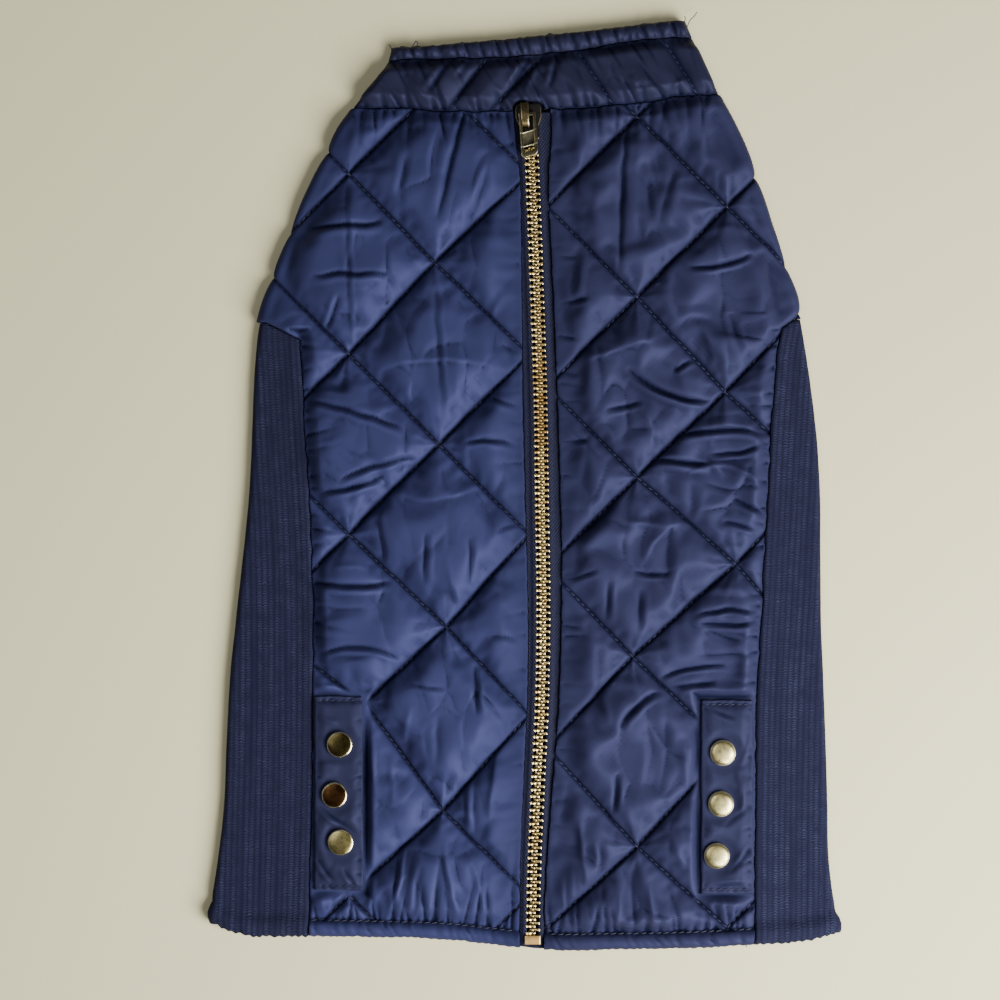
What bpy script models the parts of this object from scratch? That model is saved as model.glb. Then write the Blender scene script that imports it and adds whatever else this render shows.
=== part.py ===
"""Dog winter coat, zipped up and laid flat on its belly side.

The coat is a flattened tube of cloth. Two quilted satin panels meet at a metal zip on the upper side and
wrap round the shoulders to the leg holes underneath. One rib-knit panel folds round both sides and makes
the belly and the chest. A quilted stand collar with a gathered casing closes the neck. Two plain welt tabs
with three snap caps each lie near the hem.

Lengths below are in millimetres. The neck points to +Y, and the underside rests on z = 0.
"""

import math

import bmesh
import bpy
import numpy as np
from mathutils import Matrix
from mathutils.geometry import delaunay_2d_cdt

MM = 0.001
SEAM_GAP = 0.3

# Layers, from the ground up: the under layer, a slit, then the upper layer with its quilting.
UNDER_WALL = 2.4
SLIT = 0.4
MID_Z = UNDER_WALL + SLIT / 2
UPPER_BASE = UNDER_WALL + SLIT

# Side folds: the run of cloth in the bend, and how far the bend stands out from its own middle line.
FOLD_RUN = 6.0
FOLD_OUT = 2.9
FOLD_STEPS = 6

# Quilting: wall at a stitched line, at the middle of a diamond, and how far the padding takes to rise.
QUILT_LINE = 1.9
QUILT_PUFF = 6.2
QUILT_RISE = 21.0
SIDE_LINE = 2.1
SIDE_PUFF = 3.7
SEAM_WALL = 2.1
SEAM_RISE = 8.0
ZIP_EDGE_WALL = 2.7
CREASE_HALF = 2.2
QUILT_STEP = 34.7
COLLAR_SIDE = 3.0

HEM_DEPTH = 6.3
HEM_ROLL = 4.0
RIB_HEM_DEPTH = 9.0

RIB_WALL = 2.0
RIB_RAISE = 0.6
RIB_PITCH = 3.0

ZIP_HALF = 5.7
TAPE_OUTER = 5.4
TAPE_Z = 3.8
TAPE_WALL = 0.9
CHAIN_HALF = 2.9
CHAIN_Z = (2.9, 5.6)
CHAIN_Y = (-172.7, 132.1)

SLIDER_CENTRE = (1.0, 139.6)
SLIDER_TURN = math.radians(2.6)
SLIDER_HALVES = ((-7.0, 3.9), (-1.6, 3.9), (1.6, 5.1), (5.4, 5.1), (7.0, 3.6))
SLIDER_PLATES = ((2.75, 3.5), (5.0, 6.1))
BEAD_HALF = 2.0
PULL_AXIS = (0.3, 142.2, 7.25)
PULL_TURN = math.radians(4.2)
PULL_LENGTH = 16.8
PULL_WIDTH = 6.6
PULL_WALL = 1.3
PULL_BAR = 1.25
BAIL_WIDTH = 3.3
BAIL_Y = (-5.1, 4.7)
BAIL_TOP = 9.5
BAIL_WALL = 1.2

TAB_BED = 2.2
TAB_WALL = 1.2
TAB_PUFF = 1.3
SNAP_RADIUS = 5.0
SNAP_HEIGHT = 1.9
# radius and height, as shares of the two sizes above
SNAP_SECTION = ((0.0, 1.0), (0.42, 0.95), (0.74, 0.8), (0.95, 0.52), (1.0, 0.22), (0.86, 0.0), (0.0, 0.0))

# y, left edge x, right edge x of the coat lying flat
SIDE_EDGES = (
    (-178.0, -122.6, 123.4),
    (-163.0, -122.1, 119.8),
    (-147.0, -119.7, 117.5),
    (-122.0, -116.8, 116.8),
    (-101.0, -116.0, 116.2),
    (-75.0, -114.7, 115.2),
    (-52.0, -112.3, 114.3),
    (-30.0, -109.9, 114.1),
    (-6.0, -107.5, 114.0),
    (21.0, -106.1, 112.4),
    (45.0, -105.1, 109.4),
    (61.0, -103.3, 106.8),
    (72.0, -100.6, 104.8),
    (85.0, -96.0, 100.4),
    (101.0, -89.7, 94.3),
    (122.0, -79.8, 87.6),
    (137.0, -72.2, 81.1),
    (150.0, -62.6, 74.2),
    (163.0, -52.9, 68.0),
    (172.0, -51.0, 63.8),
    (181.0, -50.4, 60.2),
)
# x, y
HEM_EDGE = (
    (-124.0, -165.6),
    (-117.0, -170.8),
    (-110.0, -172.9),
    (-85.0, -173.6),
    (-55.0, -174.2),
    (-31.0, -175.0),
    (-10.0, -177.3),
    (5.0, -178.9),
    (33.0, -178.9),
    (63.0, -178.3),
    (88.0, -177.0),
    (112.0, -174.6),
    (125.0, -170.5),
)
COLLAR_SEAM = (
    (-70.0, 145.1),
    (-52.0, 144.9),
    (-32.0, 144.0),
    (-5.0, 143.8),
    (25.0, 145.5),
    (48.0, 147.5),
    (59.0, 149.5),
    (78.0, 150.6),
)
CASING_SEAM = (
    (-58.0, 162.8),
    (-30.0, 164.2),
    (-10.0, 164.5),
    (13.0, 166.5),
    (25.0, 168.2),
    (49.0, 171.6),
    (70.0, 172.3),
)
NECK_EDGE = (
    (-58.0, 168.2),
    (-43.0, 168.7),
    (-30.0, 169.8),
    (-10.0, 171.4),
    (13.0, 173.8),
    (34.0, 176.0),
    (59.0, 178.8),
    (70.0, 179.0),
)
# y, x
RIB_SEAM_LEFT = (
    (-180.0, -84.0),
    (-83.0, -82.0),
    (-29.0, -82.4),
    (21.0, -85.1),
    (48.0, -86.6),
    (56.0, -87.2),
)
RIB_SEAM_RIGHT = (
    (-180.0, 87.8),
    (-116.0, 88.2),
    (-82.0, 88.8),
    (-46.0, 90.7),
    (-6.0, 92.8),
    (39.0, 95.5),
    (53.0, 96.8),
    (60.5, 98.3),
)
ZIP_LINE = (
    (-180.0, 2.4),
    (-148.0, 3.0),
    (-114.0, 4.5),
    (-83.0, 6.0),
    (-44.0, 6.5),
    (-6.0, 6.0),
    (33.0, 5.4),
    (71.0, 4.2),
    (120.0, 2.3),
    (150.0, 1.0),
)
# side: rib seam, y where the rib meets the side fold, leg hole centre x and y, half width, half height,
# angles in degrees on the hole where the lower and the upper seam leave it, x of the upper seam at the collar
SIDES = {
    -1: (RIB_SEAM_LEFT, 62.4, -52.0, 91.0, 19.0, 26.0, 222.0, 97.0, -42.0),
    1: (RIB_SEAM_RIGHT, 63.8, 58.0, 92.0, 19.0, 26.0, 318.0, 83.0, 50.0),
}
# side, first crossing x and y, then the crossings pulled off the even net: column, level, x shift, y shift
QUILT_NETS = {
    -1: ((-68.3, 119.7), ((1, 1, -1.7, 0.6), (0, 6, 6.1, 4.6), (1, 7, 1.5, -2.1), (1, 5, 2.8, -0.8))),
    1: ((42.7, 72.4), ((1, 1, -0.9, -1.8), (1, 3, 3.3, 1.2), (0, 4, -1.8, 0.4), (0, 6, 0.0, -3.5))),
}
# The largest folds in the satin. x and y of both ends, half width, height, below 0 for a trough
LARGE_FOLDS = (
    (-54.0, 126.0, -72.0, 96.0, 4.0, -0.9),
    (-20.0, 116.0, -30.0, 100.0, 5.0, 0.7),
    (-84.0, 97.0, -56.0, 94.0, 3.0, -0.8),
    (-78.0, 79.0, -54.0, 77.0, 3.0, -0.9),
    (-67.0, 72.0, -68.0, 54.0, 4.0, 0.7),
    (-33.0, 78.0, -34.0, 22.0, 5.0, 0.7),
    (-84.0, 30.0, -50.0, 20.0, 3.5, -0.7),
    (-80.0, -3.0, -38.0, 3.0, 4.5, 0.8),
    (-80.0, -39.0, -54.0, -38.0, 3.0, -0.8),
    (-30.0, -60.0, -22.0, -100.0, 5.0, 0.8),
    (-52.0, -64.0, -44.0, -78.0, 4.0, 0.7),
    (-56.0, -152.0, -34.0, -140.0, 5.0, 0.7),
    (38.0, 134.0, 40.0, 84.0, 5.0, 0.8),
    (56.0, 132.0, 66.0, 96.0, 4.0, -0.7),
    (42.0, 39.0, 69.0, 32.0, 3.0, -1.0),
    (20.0, 20.0, 34.0, 34.0, 4.0, 0.7),
    (68.0, 19.0, 90.0, 14.0, 3.0, -0.8),
    (62.0, 8.0, 84.0, 13.0, 4.0, 0.7),
    (67.0, -48.0, 88.0, -54.0, 3.0, -0.8),
    (52.0, -72.0, 74.0, -77.0, 3.5, -0.8),
    (24.0, -60.0, 26.0, -96.0, 5.0, 0.7),
    (44.0, -96.0, 58.0, -124.0, 4.5, 0.7),
    (20.0, -146.0, 30.0, -160.0, 4.0, 0.7),
)
# x and y of both ends of each stitched line on the collar
COLLAR_LINES = (
    (9.5, 167.5, -15.0, 143.0),
    (18.5, 168.5, 35.0, 144.0),
    (-13.5, 166.0, -31.0, 143.0),
    (52.0, 172.5, 66.0, 150.0),
)
# side: x of the two long edges, y of the two ends, then x and y of each snap
TABS = {
    -1: ((-81.6, -62.4), (-155.9, -80.9), ((-71.5, -99.6), (-73.5, -119.0), (-71.1, -137.1))),
    1: ((67.0, 87.4), (-157.1, -82.4), ((75.5, -102.8), (74.8, -122.4), (73.2, -142.3))),
}
# name: base colour, roughness, metallic
MATERIALS = {
    "quilted_satin": ((0.026, 0.034, 0.128, 1.0), 0.36, 0.0),
    "rib_knit": ((0.015, 0.018, 0.070, 1.0), 0.9, 0.0),
    "zip_tape": ((0.012, 0.014, 0.050, 1.0), 0.85, 0.0),
    "brass": ((0.75, 0.58, 0.28, 1.0), 0.3, 1.0),
    "aged_bronze": ((0.26, 0.21, 0.11, 1.0), 0.38, 1.0),
    "gold": ((0.78, 0.64, 0.30, 1.0), 0.12, 1.0),
}


def start_scene():
    for old in list(bpy.data.objects):
        bpy.data.objects.remove(old)
    made = bpy.data.collections.new("dog_winter_coat")
    helpers = bpy.data.collections.new("cutters")
    for group in (made, helpers):
        bpy.context.scene.collection.children.link(group)
    helpers.hide_render = True
    return made, helpers


def make_material(name):
    colour, roughness, metallic = MATERIALS[name]
    material = bpy.data.materials.new(name)
    material.use_nodes = True
    shader = material.node_tree.nodes["Principled BSDF"]
    shader.inputs["Base Color"].default_value = colour
    shader.inputs["Roughness"].default_value = roughness
    shader.inputs["Metallic"].default_value = metallic
    return material


def curve(table, at, column=1):
    """A smooth curve through a table's rows, read at one value or many."""
    rows = np.array(table, float)
    keys, values = rows[:, 0], rows[:, column]
    slopes = np.gradient(values, keys)
    at = np.clip(np.asarray(at, float), keys[0], keys[-1])
    low = np.clip(np.searchsorted(keys, at) - 1, 0, len(keys) - 2)
    run = keys[low + 1] - keys[low]
    t = (at - keys[low]) / run
    ends = values[low] * (1 + 2 * t) * (1 - t) ** 2 + values[low + 1] * t * t * (3 - 2 * t)
    return ends + run * (slopes[low] * t * (1 - t) ** 2 - slopes[low + 1] * t * t * (1 - t))


def ease(t):
    t = np.clip(t, 0.0, 1.0)
    return t * t * (3 - 2 * t)


def fold_x(side, y):
    """The middle line of a side fold."""
    return curve(SIDE_EDGES, y, 1 if side < 0 else 2) - side * FOLD_OUT


def across_fold(side, x, y):
    """Where a point of the far layer lies on the cloth once the fold is opened out flat."""
    return 2 * fold_x(side, y) + side * FOLD_RUN - x


def fold_turn(u, y):
    """Which fold cloth at u has passed, how far round it is from 0 to 1, and its x if the fold were sharp."""
    left, right = fold_x(-1, y), fold_x(1, y)
    side = np.where(u < left, -1.0, np.where(u > right, 1.0, 0.0))
    edge = np.where(u < left, left, right)
    depth = np.where(side == 0, 0.0, np.abs(u - edge))
    turn = np.minimum(depth / FOLD_RUN, 1.0)
    x = np.where(side == 0, u, edge - side * np.maximum(depth - FOLD_RUN, 0.0))
    return side, turn, x


def place(u, y, wall, home):
    """Points of the tube of cloth, a wall out. Home is 1 for the upper layer, -1 for the under layer."""
    side, turn, x = fold_turn(u, y)
    reach = SLIT / 2 + wall
    z = MID_Z + home * np.cos(np.pi * turn) * reach
    return np.stack([x + side * np.sin(np.pi * turn) * reach, y, np.maximum(z, 0.0)], axis=-1)


def spread(points, step):
    """The same line with a point about every step, its own corners kept."""
    points = np.array(points, float)
    out = [points[0]]
    for start, end in zip(points, points[1:]):
        count = max(1, round(float(np.hypot(*(end - start))) / step))
        out.extend(start + (end - start) * k / count for k in range(1, count + 1))
    return np.array(out)


def from_lines(points, lines):
    """Distance from each point to the nearest piece of the lines, each line a row of points."""
    starts = np.concatenate([line[:-1] for line in lines])
    runs = np.concatenate([line[1:] - line[:-1] for line in lines])
    best = np.full(len(points), 1e9)
    for start, run in zip(starts, runs):
        share = np.clip((points - start) @ run / max(run @ run, 1e-9), 0, 1)
        away = points - start - share[:, None] * run
        best = np.minimum(best, np.hypot(away[:, 0], away[:, 1]))
    return best


def inside(points, loop):
    x, y = points[:, 0], points[:, 1]
    found = np.zeros(len(points), bool)
    for (x0, y0), (x1, y1) in zip(loop, np.roll(loop, -1, axis=0)):
        crosses = (y0 > y) != (y1 > y)
        rise = y1 - y0 if y1 != y0 else 1e-9
        found ^= crosses & (x < x0 + (y - y0) * (x1 - x0) / rise)
    return found


def kept_runs(line, loop, margin):
    """The stretches of a line that lie inside a closed outline, clear of its edge."""
    good = inside(line, loop) & (from_lines(line, [np.vstack([loop, loop[:1]])]) > margin)
    runs, run = [], []
    for point, fits in zip(line, good):
        if fits:
            run.append(point)
            continue
        if len(run) > 1:
            runs.append(np.array(run))
        run = []
    if len(run) > 1:
        runs.append(np.array(run))
    return runs


def inset(loop, amount):
    """A closed outline drawn in by an amount all round."""
    ahead = np.roll(loop, -1, axis=0) - loop
    ahead = ahead / np.hypot(ahead[:, 0], ahead[:, 1])[:, None]
    both = ahead + np.roll(ahead, 1, axis=0)
    both = both / np.hypot(both[:, 0], both[:, 1])[:, None]
    turned = np.stack([-both[:, 1], both[:, 0]], axis=1)
    area = np.sum(loop[:, 0] * np.roll(loop[:, 1], -1) - loop[:, 1] * np.roll(loop[:, 0], -1))
    return loop + turned * amount * np.sign(area)


def join(*lines):
    """One closed outline from lines that follow each other, shared ends kept once."""
    points = []
    for line in lines:
        for point in line:
            if not points or np.hypot(*(np.array(point) - points[-1])) > 0.4:
                points.append(np.array(point, float))
    if np.hypot(*(points[0] - points[-1])) < 0.4:
        points.pop()
    return np.array(points)


def scatter(loop, lines, step, room):
    """Points of an even net inside an outline, with room left round its edge and the lines."""
    low, high = loop.min(axis=0), loop.max(axis=0)
    rows = []
    for number, y in enumerate(np.arange(low[1], high[1], step * 0.87)):
        x = np.arange(low[0] + (number % 2) * step / 2, high[0], step)
        rows.append(np.stack([x, np.full(len(x), y)], axis=1))
    net = np.concatenate(rows)
    net = net[inside(net, loop)]
    around = [np.vstack([loop, loop[:1]]), *lines]
    return net[from_lines(net, around) > room]


def triangles(loop, lines, loose):
    """Triangles that fill an outline and keep its edge and the lines as edges."""
    points = [tuple(point) for point in loop]
    edges = [(i, (i + 1) % len(loop)) for i in range(len(loop))]
    for line in lines:
        first = len(points)
        points += [tuple(point) for point in line]
        edges += [(first + i, first + i + 1) for i in range(len(line) - 1)]
    points += [tuple(point) for point in loose]
    found = delaunay_2d_cdt([tuple(map(float, p)) for p in points], edges, [], 1, 1e-4)
    return np.array([tuple(p) for p in found[0]]), found[2], found[3]


def edge_loop(faces):
    """The open edge of a patch of triangles, in order."""
    following = {}
    for face in faces:
        for a, b in zip(face, face[1:] + face[:1]):
            following[(a, b)] = None
    ahead = {a: b for a, b in following if (b, a) not in following}
    start = next(iter(ahead))
    loop = [start]
    while ahead[loop[-1]] != start:
        loop.append(ahead[loop[-1]])
    return loop


def build_wall(name, loop, lines, loose, outer, inner, inner_lines=()):
    """A closed wall of cloth: a fine outer face, a plain inner face, and the cut edge between them."""
    flat, faces, _ = triangles(loop, lines, loose)
    faces = [list(face) for face in faces]
    rim = edge_loop(faces)
    back, back_faces, came_from = triangles(flat[rim], inner_lines, ())
    on_rim = {old: new for new, olds in enumerate(came_from) for old in olds if old < len(rim)}
    points = np.vstack([outer(flat[:, 0], flat[:, 1]), inner(back[:, 0], back[:, 1])])
    shift = len(flat)
    faces += [[shift + i for i in face][::-1] for face in back_faces]
    for i, near in enumerate(rim):
        after = (i + 1) % len(rim)
        faces.append([rim[after], near, shift + on_rim[i], shift + on_rim[after]])
    body = bmesh.new()
    corners = [body.verts.new(tuple(point * MM)) for point in points]
    for face in faces:
        body.faces.new([corners[i] for i in face])
    loose_corners = [corner for corner in corners if not corner.link_faces]
    bmesh.ops.delete(body, geom=loose_corners, context="VERTS")
    bmesh.ops.recalc_face_normals(body, faces=body.faces)
    return finish(name, body)


def finish(name, body, group=None):
    mesh = bpy.data.meshes.new(name)
    body.to_mesh(mesh)
    body.free()
    made = bpy.data.objects.new(name, mesh)
    (group or COAT).objects.link(made)
    return made


def quilt_lines(side):
    """Stitched lines of a panel's diamond quilting, both ways, over its unrolled cloth."""
    (first_x, first_y), pulled = QUILT_NETS[side]
    shifts = {(column, level): (dx, dy) for column, level, dx, dy in pulled}

    def crossing(column, level):
        dx, dy = shifts.get((column, level), (0.0, 0.0))
        return (first_x + column * QUILT_STEP + dx, first_y - level * QUILT_STEP + dy)

    lines = []
    for start in range(-16, 17, 2):
        for way in (1, -1):
            line = [crossing(column, start + way * column) for column in range(-7, 8)]
            lines.append(spread(line, 4.4))
    return lines


def beside(line, amount):
    """A line moved sideways by an amount."""
    ahead = np.gradient(line, axis=0)
    ahead = ahead / np.hypot(ahead[:, 0], ahead[:, 1])[:, None]
    return line + np.stack([-ahead[:, 1], ahead[:, 0]], axis=1) * amount


def fold_height(x, y):
    """Height that the large folds add at a point."""
    total = np.zeros(len(x))
    points = np.stack([x, y], axis=1)
    for x0, y0, x1, y1, half, height in LARGE_FOLDS:
        start, run = np.array([x0, y0]), np.array([x1 - x0, y1 - y0])
        share = np.clip((points - start) @ run / (run @ run), 0, 1)
        away = points - start - share[:, None] * run
        total += height * np.exp(-np.sum(away**2, axis=1) / half**2) * (0.35 + 0.65 * np.sin(np.pi * share))
    return total


def tab_bed(side, x, y):
    """1 where a welt tab lies on a panel, 0 clear of it."""
    (x0, x1), (y0, y1), _ = TABS[side]
    out = np.maximum(np.maximum(x0 - x, x - x1), np.maximum(y0 - y, y - y1))
    return 1 - ease((out - 1.6) / 5.0)


def zip_half(y):
    """Half the gap between the panels: it opens a little round the slider."""
    return ZIP_HALF + 0.8 * ease((y - 126.0) / 10.0)


def quilted_wall(side, lines, u, y):
    """Thickness of a quilted panel at a point of its unrolled cloth."""
    points = np.stack([u, y], axis=1)
    _, turn, x = fold_turn(u, y)
    rise = np.clip(from_lines(points, lines) / QUILT_RISE, 0, 1)
    puff = 1 - (1 - rise) ** 2.6
    top = QUILT_LINE + (QUILT_PUFF - QUILT_LINE) * puff + fold_height(u, y)
    slim = SIDE_LINE + (SIDE_PUFF - SIDE_LINE) * puff
    from_fold = np.abs(u - fold_x(side, y))
    top = np.where(y > 50, slim * 1.1 + (top - slim * 1.1) * ease(from_fold / 15.0), top)
    seam = SIDES[side][0]
    from_rib = np.where(y < 60, np.abs(curve(seam, y) - u), 99.0)
    from_collar = np.abs(curve(COLLAR_SEAM, u) - y)
    from_zip = np.abs(u - curve(ZIP_LINE, y)) - zip_half(y)
    from_hem = y - curve(HEM_EDGE, u)
    top = SEAM_WALL + (top - SEAM_WALL) * ease(0.12 + np.minimum(from_rib, from_collar) / SEAM_RISE)
    top = ZIP_EDGE_WALL + (top - ZIP_EDGE_WALL) * ease(from_zip / SEAM_RISE)
    pucker = 0.35 * np.sin(u * 1.15 + 1.3 * np.sin(u * 0.31)) * np.exp(-((from_hem - HEM_DEPTH) ** 2) / 16)
    top = SEAM_WALL + (top - SEAM_WALL) * ease((from_hem - HEM_DEPTH) / SEAM_RISE) + pucker
    roll = 1.5 + (HEM_ROLL - 1.5) * np.sqrt(np.clip(1 - (2 * from_hem / HEM_DEPTH - 1) ** 2, 0, 1))
    top = np.where(from_hem < HEM_DEPTH - 0.3, roll, top)
    bed = tab_bed(side, u, y)
    top = top + (TAB_BED - top) * bed
    half = ease(turn * 2)
    rest = ease(turn * 2 - 1)
    return (top * (1 - half) + slim * half) * (1 - rest) + UNDER_WALL * rest


def fold_row(side, y):
    """Points across a side fold at one y, from the layer that the cloth starts on to the other."""
    edge = float(fold_x(side, y))
    return [(edge + side * FOLD_RUN * k / FOLD_STEPS, y) for k in range(FOLD_STEPS + 1)]


def meeting(side, table):
    """The y where a seam given as y over x crosses a side fold."""
    y = curve(table, 0.0)
    for _ in range(20):
        y = curve(table, fold_x(side, y))
    return float(y)


def flat_seam(table, start, end, step=4.0):
    """Points of a seam given as y over x."""
    x = np.linspace(start, end, max(2, round(abs(end - start) / step) + 1))
    return [(float(a), float(curve(table, a))) for a in x]


def tall_seam(table, start, end, shift=0.0, step=4.0):
    """Points of a seam given as x over y."""
    y = np.linspace(start, end, max(2, round(abs(end - start) / step) + 1))
    return [(float(curve(table, a)) + shift, float(a)) for a in y]


def hole_arc(side, inner):
    """Points of a leg hole's edge from its lower seam to its upper one, round its inner or its outer side."""
    _, _, x, y, half, tall, low, high, _ = SIDES[side]
    if side < 0 and inner:
        high += 360.0
    if side > 0 and not inner:
        low -= 360.0
    angles = np.radians(np.linspace(low, high, 15))
    return [(x + half * math.cos(a), y + tall * math.sin(a)) for a in angles]


def under_seams(side):
    """The seam from the fold to the leg hole, and the one from the hole to the collar, on the under layer."""
    _, fold_y, x, y, half, tall, low, high, neck_x = SIDES[side]
    low, high = math.radians(low), math.radians(high)
    near = (x + half * math.cos(low), y + tall * math.sin(low))
    far = (x + half * math.cos(high), y + tall * math.sin(high))
    lower = spread([(float(fold_x(side, fold_y)), fold_y), near], 6.0)
    upper = spread([far, (neck_x, float(curve(COLLAR_SEAM, neck_x)))], 6.0)
    return lower, upper


def opened(side, points):
    """Points of the far layer, laid out on the cloth's opened plane."""
    points = np.array(points, float)
    return np.stack([across_fold(side, points[:, 0], points[:, 1]), points[:, 1]], axis=1)


def zip_edge_x(side, y):
    """The edge of a panel beside the zip."""
    return float(curve(ZIP_LINE, y)) + side * float(zip_half(y))


def quilted_outline(side):
    seam, fold_y = SIDES[side][:2]
    zip_top = float(curve(COLLAR_SEAM, zip_edge_x(side, 143.0)))
    zip_low = float(curve(HEM_EDGE, zip_edge_x(side, -177.0)))
    zip_edge = [(zip_edge_x(side, y), y) for y in np.linspace(zip_low, zip_top, 74)]
    neck_y = meeting(side, COLLAR_SEAM)
    neck_fold = float(fold_x(side, neck_y))
    neck = flat_seam(COLLAR_SEAM, zip_edge_x(side, 143.0), neck_fold)
    lower, upper = under_seams(side)
    under_neck = flat_seam(COLLAR_SEAM, neck_fold, upper[-1][0], 5.0)
    rib_top = seam[-1][0]
    rib_corner = (float(curve(seam, rib_top)), rib_top)
    rib_low = float(curve(HEM_EDGE, float(curve(seam, -174.0))))
    loop = join(
        zip_edge,
        neck,
        fold_row(side, neck_y),
        opened(side, under_neck),
        opened(side, upper[::-1]),
        opened(side, hole_arc(side, False)[::-1]),
        opened(side, lower[::-1]),
        fold_row(side, fold_y)[::-1],
        spread([(float(fold_x(side, fold_y)), fold_y), rib_corner], 3.6),
        tall_seam(seam, rib_top, rib_low),
        flat_seam(HEM_EDGE, float(curve(seam, rib_low)), zip_edge_x(side, -177.0), 3.2),
    )
    return inset(loop, SEAM_GAP / 2)


def snapped(line, loop):
    """A line with each end moved onto the nearest corner of an outline."""
    line = np.array(line, float)
    for end in (0, -1):
        away = np.hypot(*(loop - line[end]).T)
        line[end] = loop[int(np.argmin(away))]
    return line


def fold_lines(side, y0, y1, loop, steps, step=8.0):
    """Lines along a side fold, one for each step round it."""
    count = max(2, round(abs(y1 - y0) / step))
    lines = []
    for k in steps:
        y = np.linspace(y0, y1, count + 1)
        x = fold_x(side, y) + side * FOLD_RUN * k / FOLD_STEPS
        lines.append(snapped(np.stack([x, y], axis=1), loop))
    return lines


def tab_ring(side, margin, step):
    (x0, x1), (y0, y1), _ = TABS[side]
    x0, x1, y0, y1 = x0 - margin, x1 + margin, y0 - margin, y1 + margin
    return spread([(x0, y0), (x1, y0), (x1, y1), (x0, y1), (x0, y0)], step)


def above_hem(points):
    """Which points lie clear of the hem's own rows."""
    return points[:, 1] - curve(HEM_EDGE, points[:, 0]) > 10.5


def build_quilted(side):
    """A quilted panel with the shoulder that wraps round to the leg hole underneath."""
    fold_y = SIDES[side][1]
    neck_y = meeting(side, COLLAR_SEAM)
    loop = quilted_outline(side)
    stitched = quilt_lines(side)
    ring = kept_runs(tab_ring(side, 1.3, 5.0), loop, 0.5)
    folds = fold_lines(side, fold_y, neck_y, loop, range(FOLD_STEPS + 1))
    clear_of = [*ring, folds[0], folds[-1]]
    lines = []
    rows = []
    for line in stitched:
        for run in kept_runs(line, loop, 1.2):
            lines += quilt_runs(run, side, clear_of)
        for way in (-CREASE_HALF, CREASE_HALF):
            rows += kept_runs(beside(line, way), loop, 1.6)
    hem = [kept_runs(hem_row(loop, up), loop, 0.7) for up in (1.6, 4.0, HEM_DEPTH, 9.0)]
    hem = [run for runs in hem for run in runs]
    lines = [run[above_hem(run)] for run in lines]
    lines = [run for run in lines if len(run) > 1]
    fixed = [*lines, *folds, *hem, *ring]
    loose = np.concatenate(rows)
    loose = loose[above_hem(loose)]
    _, turn, _ = fold_turn(loose[:, 0], loose[:, 1])
    loose = loose[(turn == 0) & (tab_bed(side, loose[:, 0], loose[:, 1]) < 0.99)]
    loose = loose[from_lines(loose, fixed) > 1.5]
    filling = scatter(loop, fixed, 6.0, 2.6)
    _, turn, _ = fold_turn(filling[:, 0], filling[:, 1])
    filling = filling[(turn == 0) & (tab_bed(side, filling[:, 0], filling[:, 1]) < 0.99)]
    gaps = np.hypot(*(filling[:, None, :] - loose[None, :, :]).transpose(2, 0, 1)).min(axis=1)
    loose = np.vstack([loose, filling[gaps > 2.8]])
    return build_wall(
        "quilted_panel_left" if side < 0 else "quilted_panel_right",
        loop,
        fixed,
        loose,
        lambda u, y: place(u, y, quilted_wall(side, stitched, u, y), 1),
        lambda u, y: place(u, y, np.zeros(len(u)), 1),
        fold_lines(side, fold_y, neck_y, loop, (0, FOLD_STEPS)),
    )


def quilt_runs(run, side, clear_of):
    """A stitched line's stretches on the upper layer, clear of the fold lines and of the tab's bed."""
    _, turn, _ = fold_turn(run[:, 0], run[:, 1])
    good = (turn == 0) & (from_lines(run, clear_of) > 1.2)
    good &= tab_bed(side, run[:, 0], run[:, 1]) < 0.99
    runs, now = [], []
    for point, fits in zip(run, good):
        if fits:
            now.append(point)
            continue
        if len(now) > 1:
            runs.append(np.array(now))
        now = []
    if len(now) > 1:
        runs.append(np.array(now))
    return runs


def hem_row(loop, up):
    x = np.arange(loop[:, 0].min(), loop[:, 0].max(), 3.2)
    return np.stack([x, curve(HEM_EDGE, x) + up], axis=1)


def rib_start(side, y):
    """Where the rib panel's edge beside the quilting lies on the opened cloth."""
    return across_fold(side, curve(SIDES[side][0], y), y)


def rib_wall(u, y):
    """Thickness of the rib panel: raised ribs on the upper side, flat below."""
    run = np.abs(u - np.where(u < 0, rib_start(-1, y), rib_start(1, y)))
    ridge = 0.5 - 0.5 * np.cos(2 * np.pi * run / RIB_PITCH)
    _, turn, x = fold_turn(u, y)
    from_hem = y - curve(HEM_EDGE, x)
    roll = 1.5 * np.sin(np.pi * np.clip(from_hem / RIB_HEM_DEPTH, 0, 1)) - 0.5 * np.exp(
        -((from_hem - RIB_HEM_DEPTH) ** 2) / 5
    )
    upper = RIB_WALL + RIB_RAISE * ridge + roll
    upper = upper - 0.5 * np.exp(-((run / 1.2) ** 2))
    share = ease(1.25 * turn)
    return UNDER_WALL + (upper - UNDER_WALL) * share


def rib_side_outline(side):
    """The rib panel's edge from the hem at the quilt seam to the collar, on the opened cloth."""
    seam, fold_y = SIDES[side][:2]
    rib_top = seam[-1][0]
    rib_low = float(curve(HEM_EDGE, float(curve(seam, -174.0))))
    corner = (float(curve(seam, rib_top)), rib_top)
    lower, upper = under_seams(side)
    return join(
        opened(side, tall_seam(seam, rib_low, rib_top, 0.0, 9.0)),
        opened(side, spread([corner, (float(fold_x(side, fold_y)), fold_y)], 3.6)),
        fold_row(side, fold_y)[::-1],
        lower,
        hole_arc(side, True),
        upper,
    )


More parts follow.
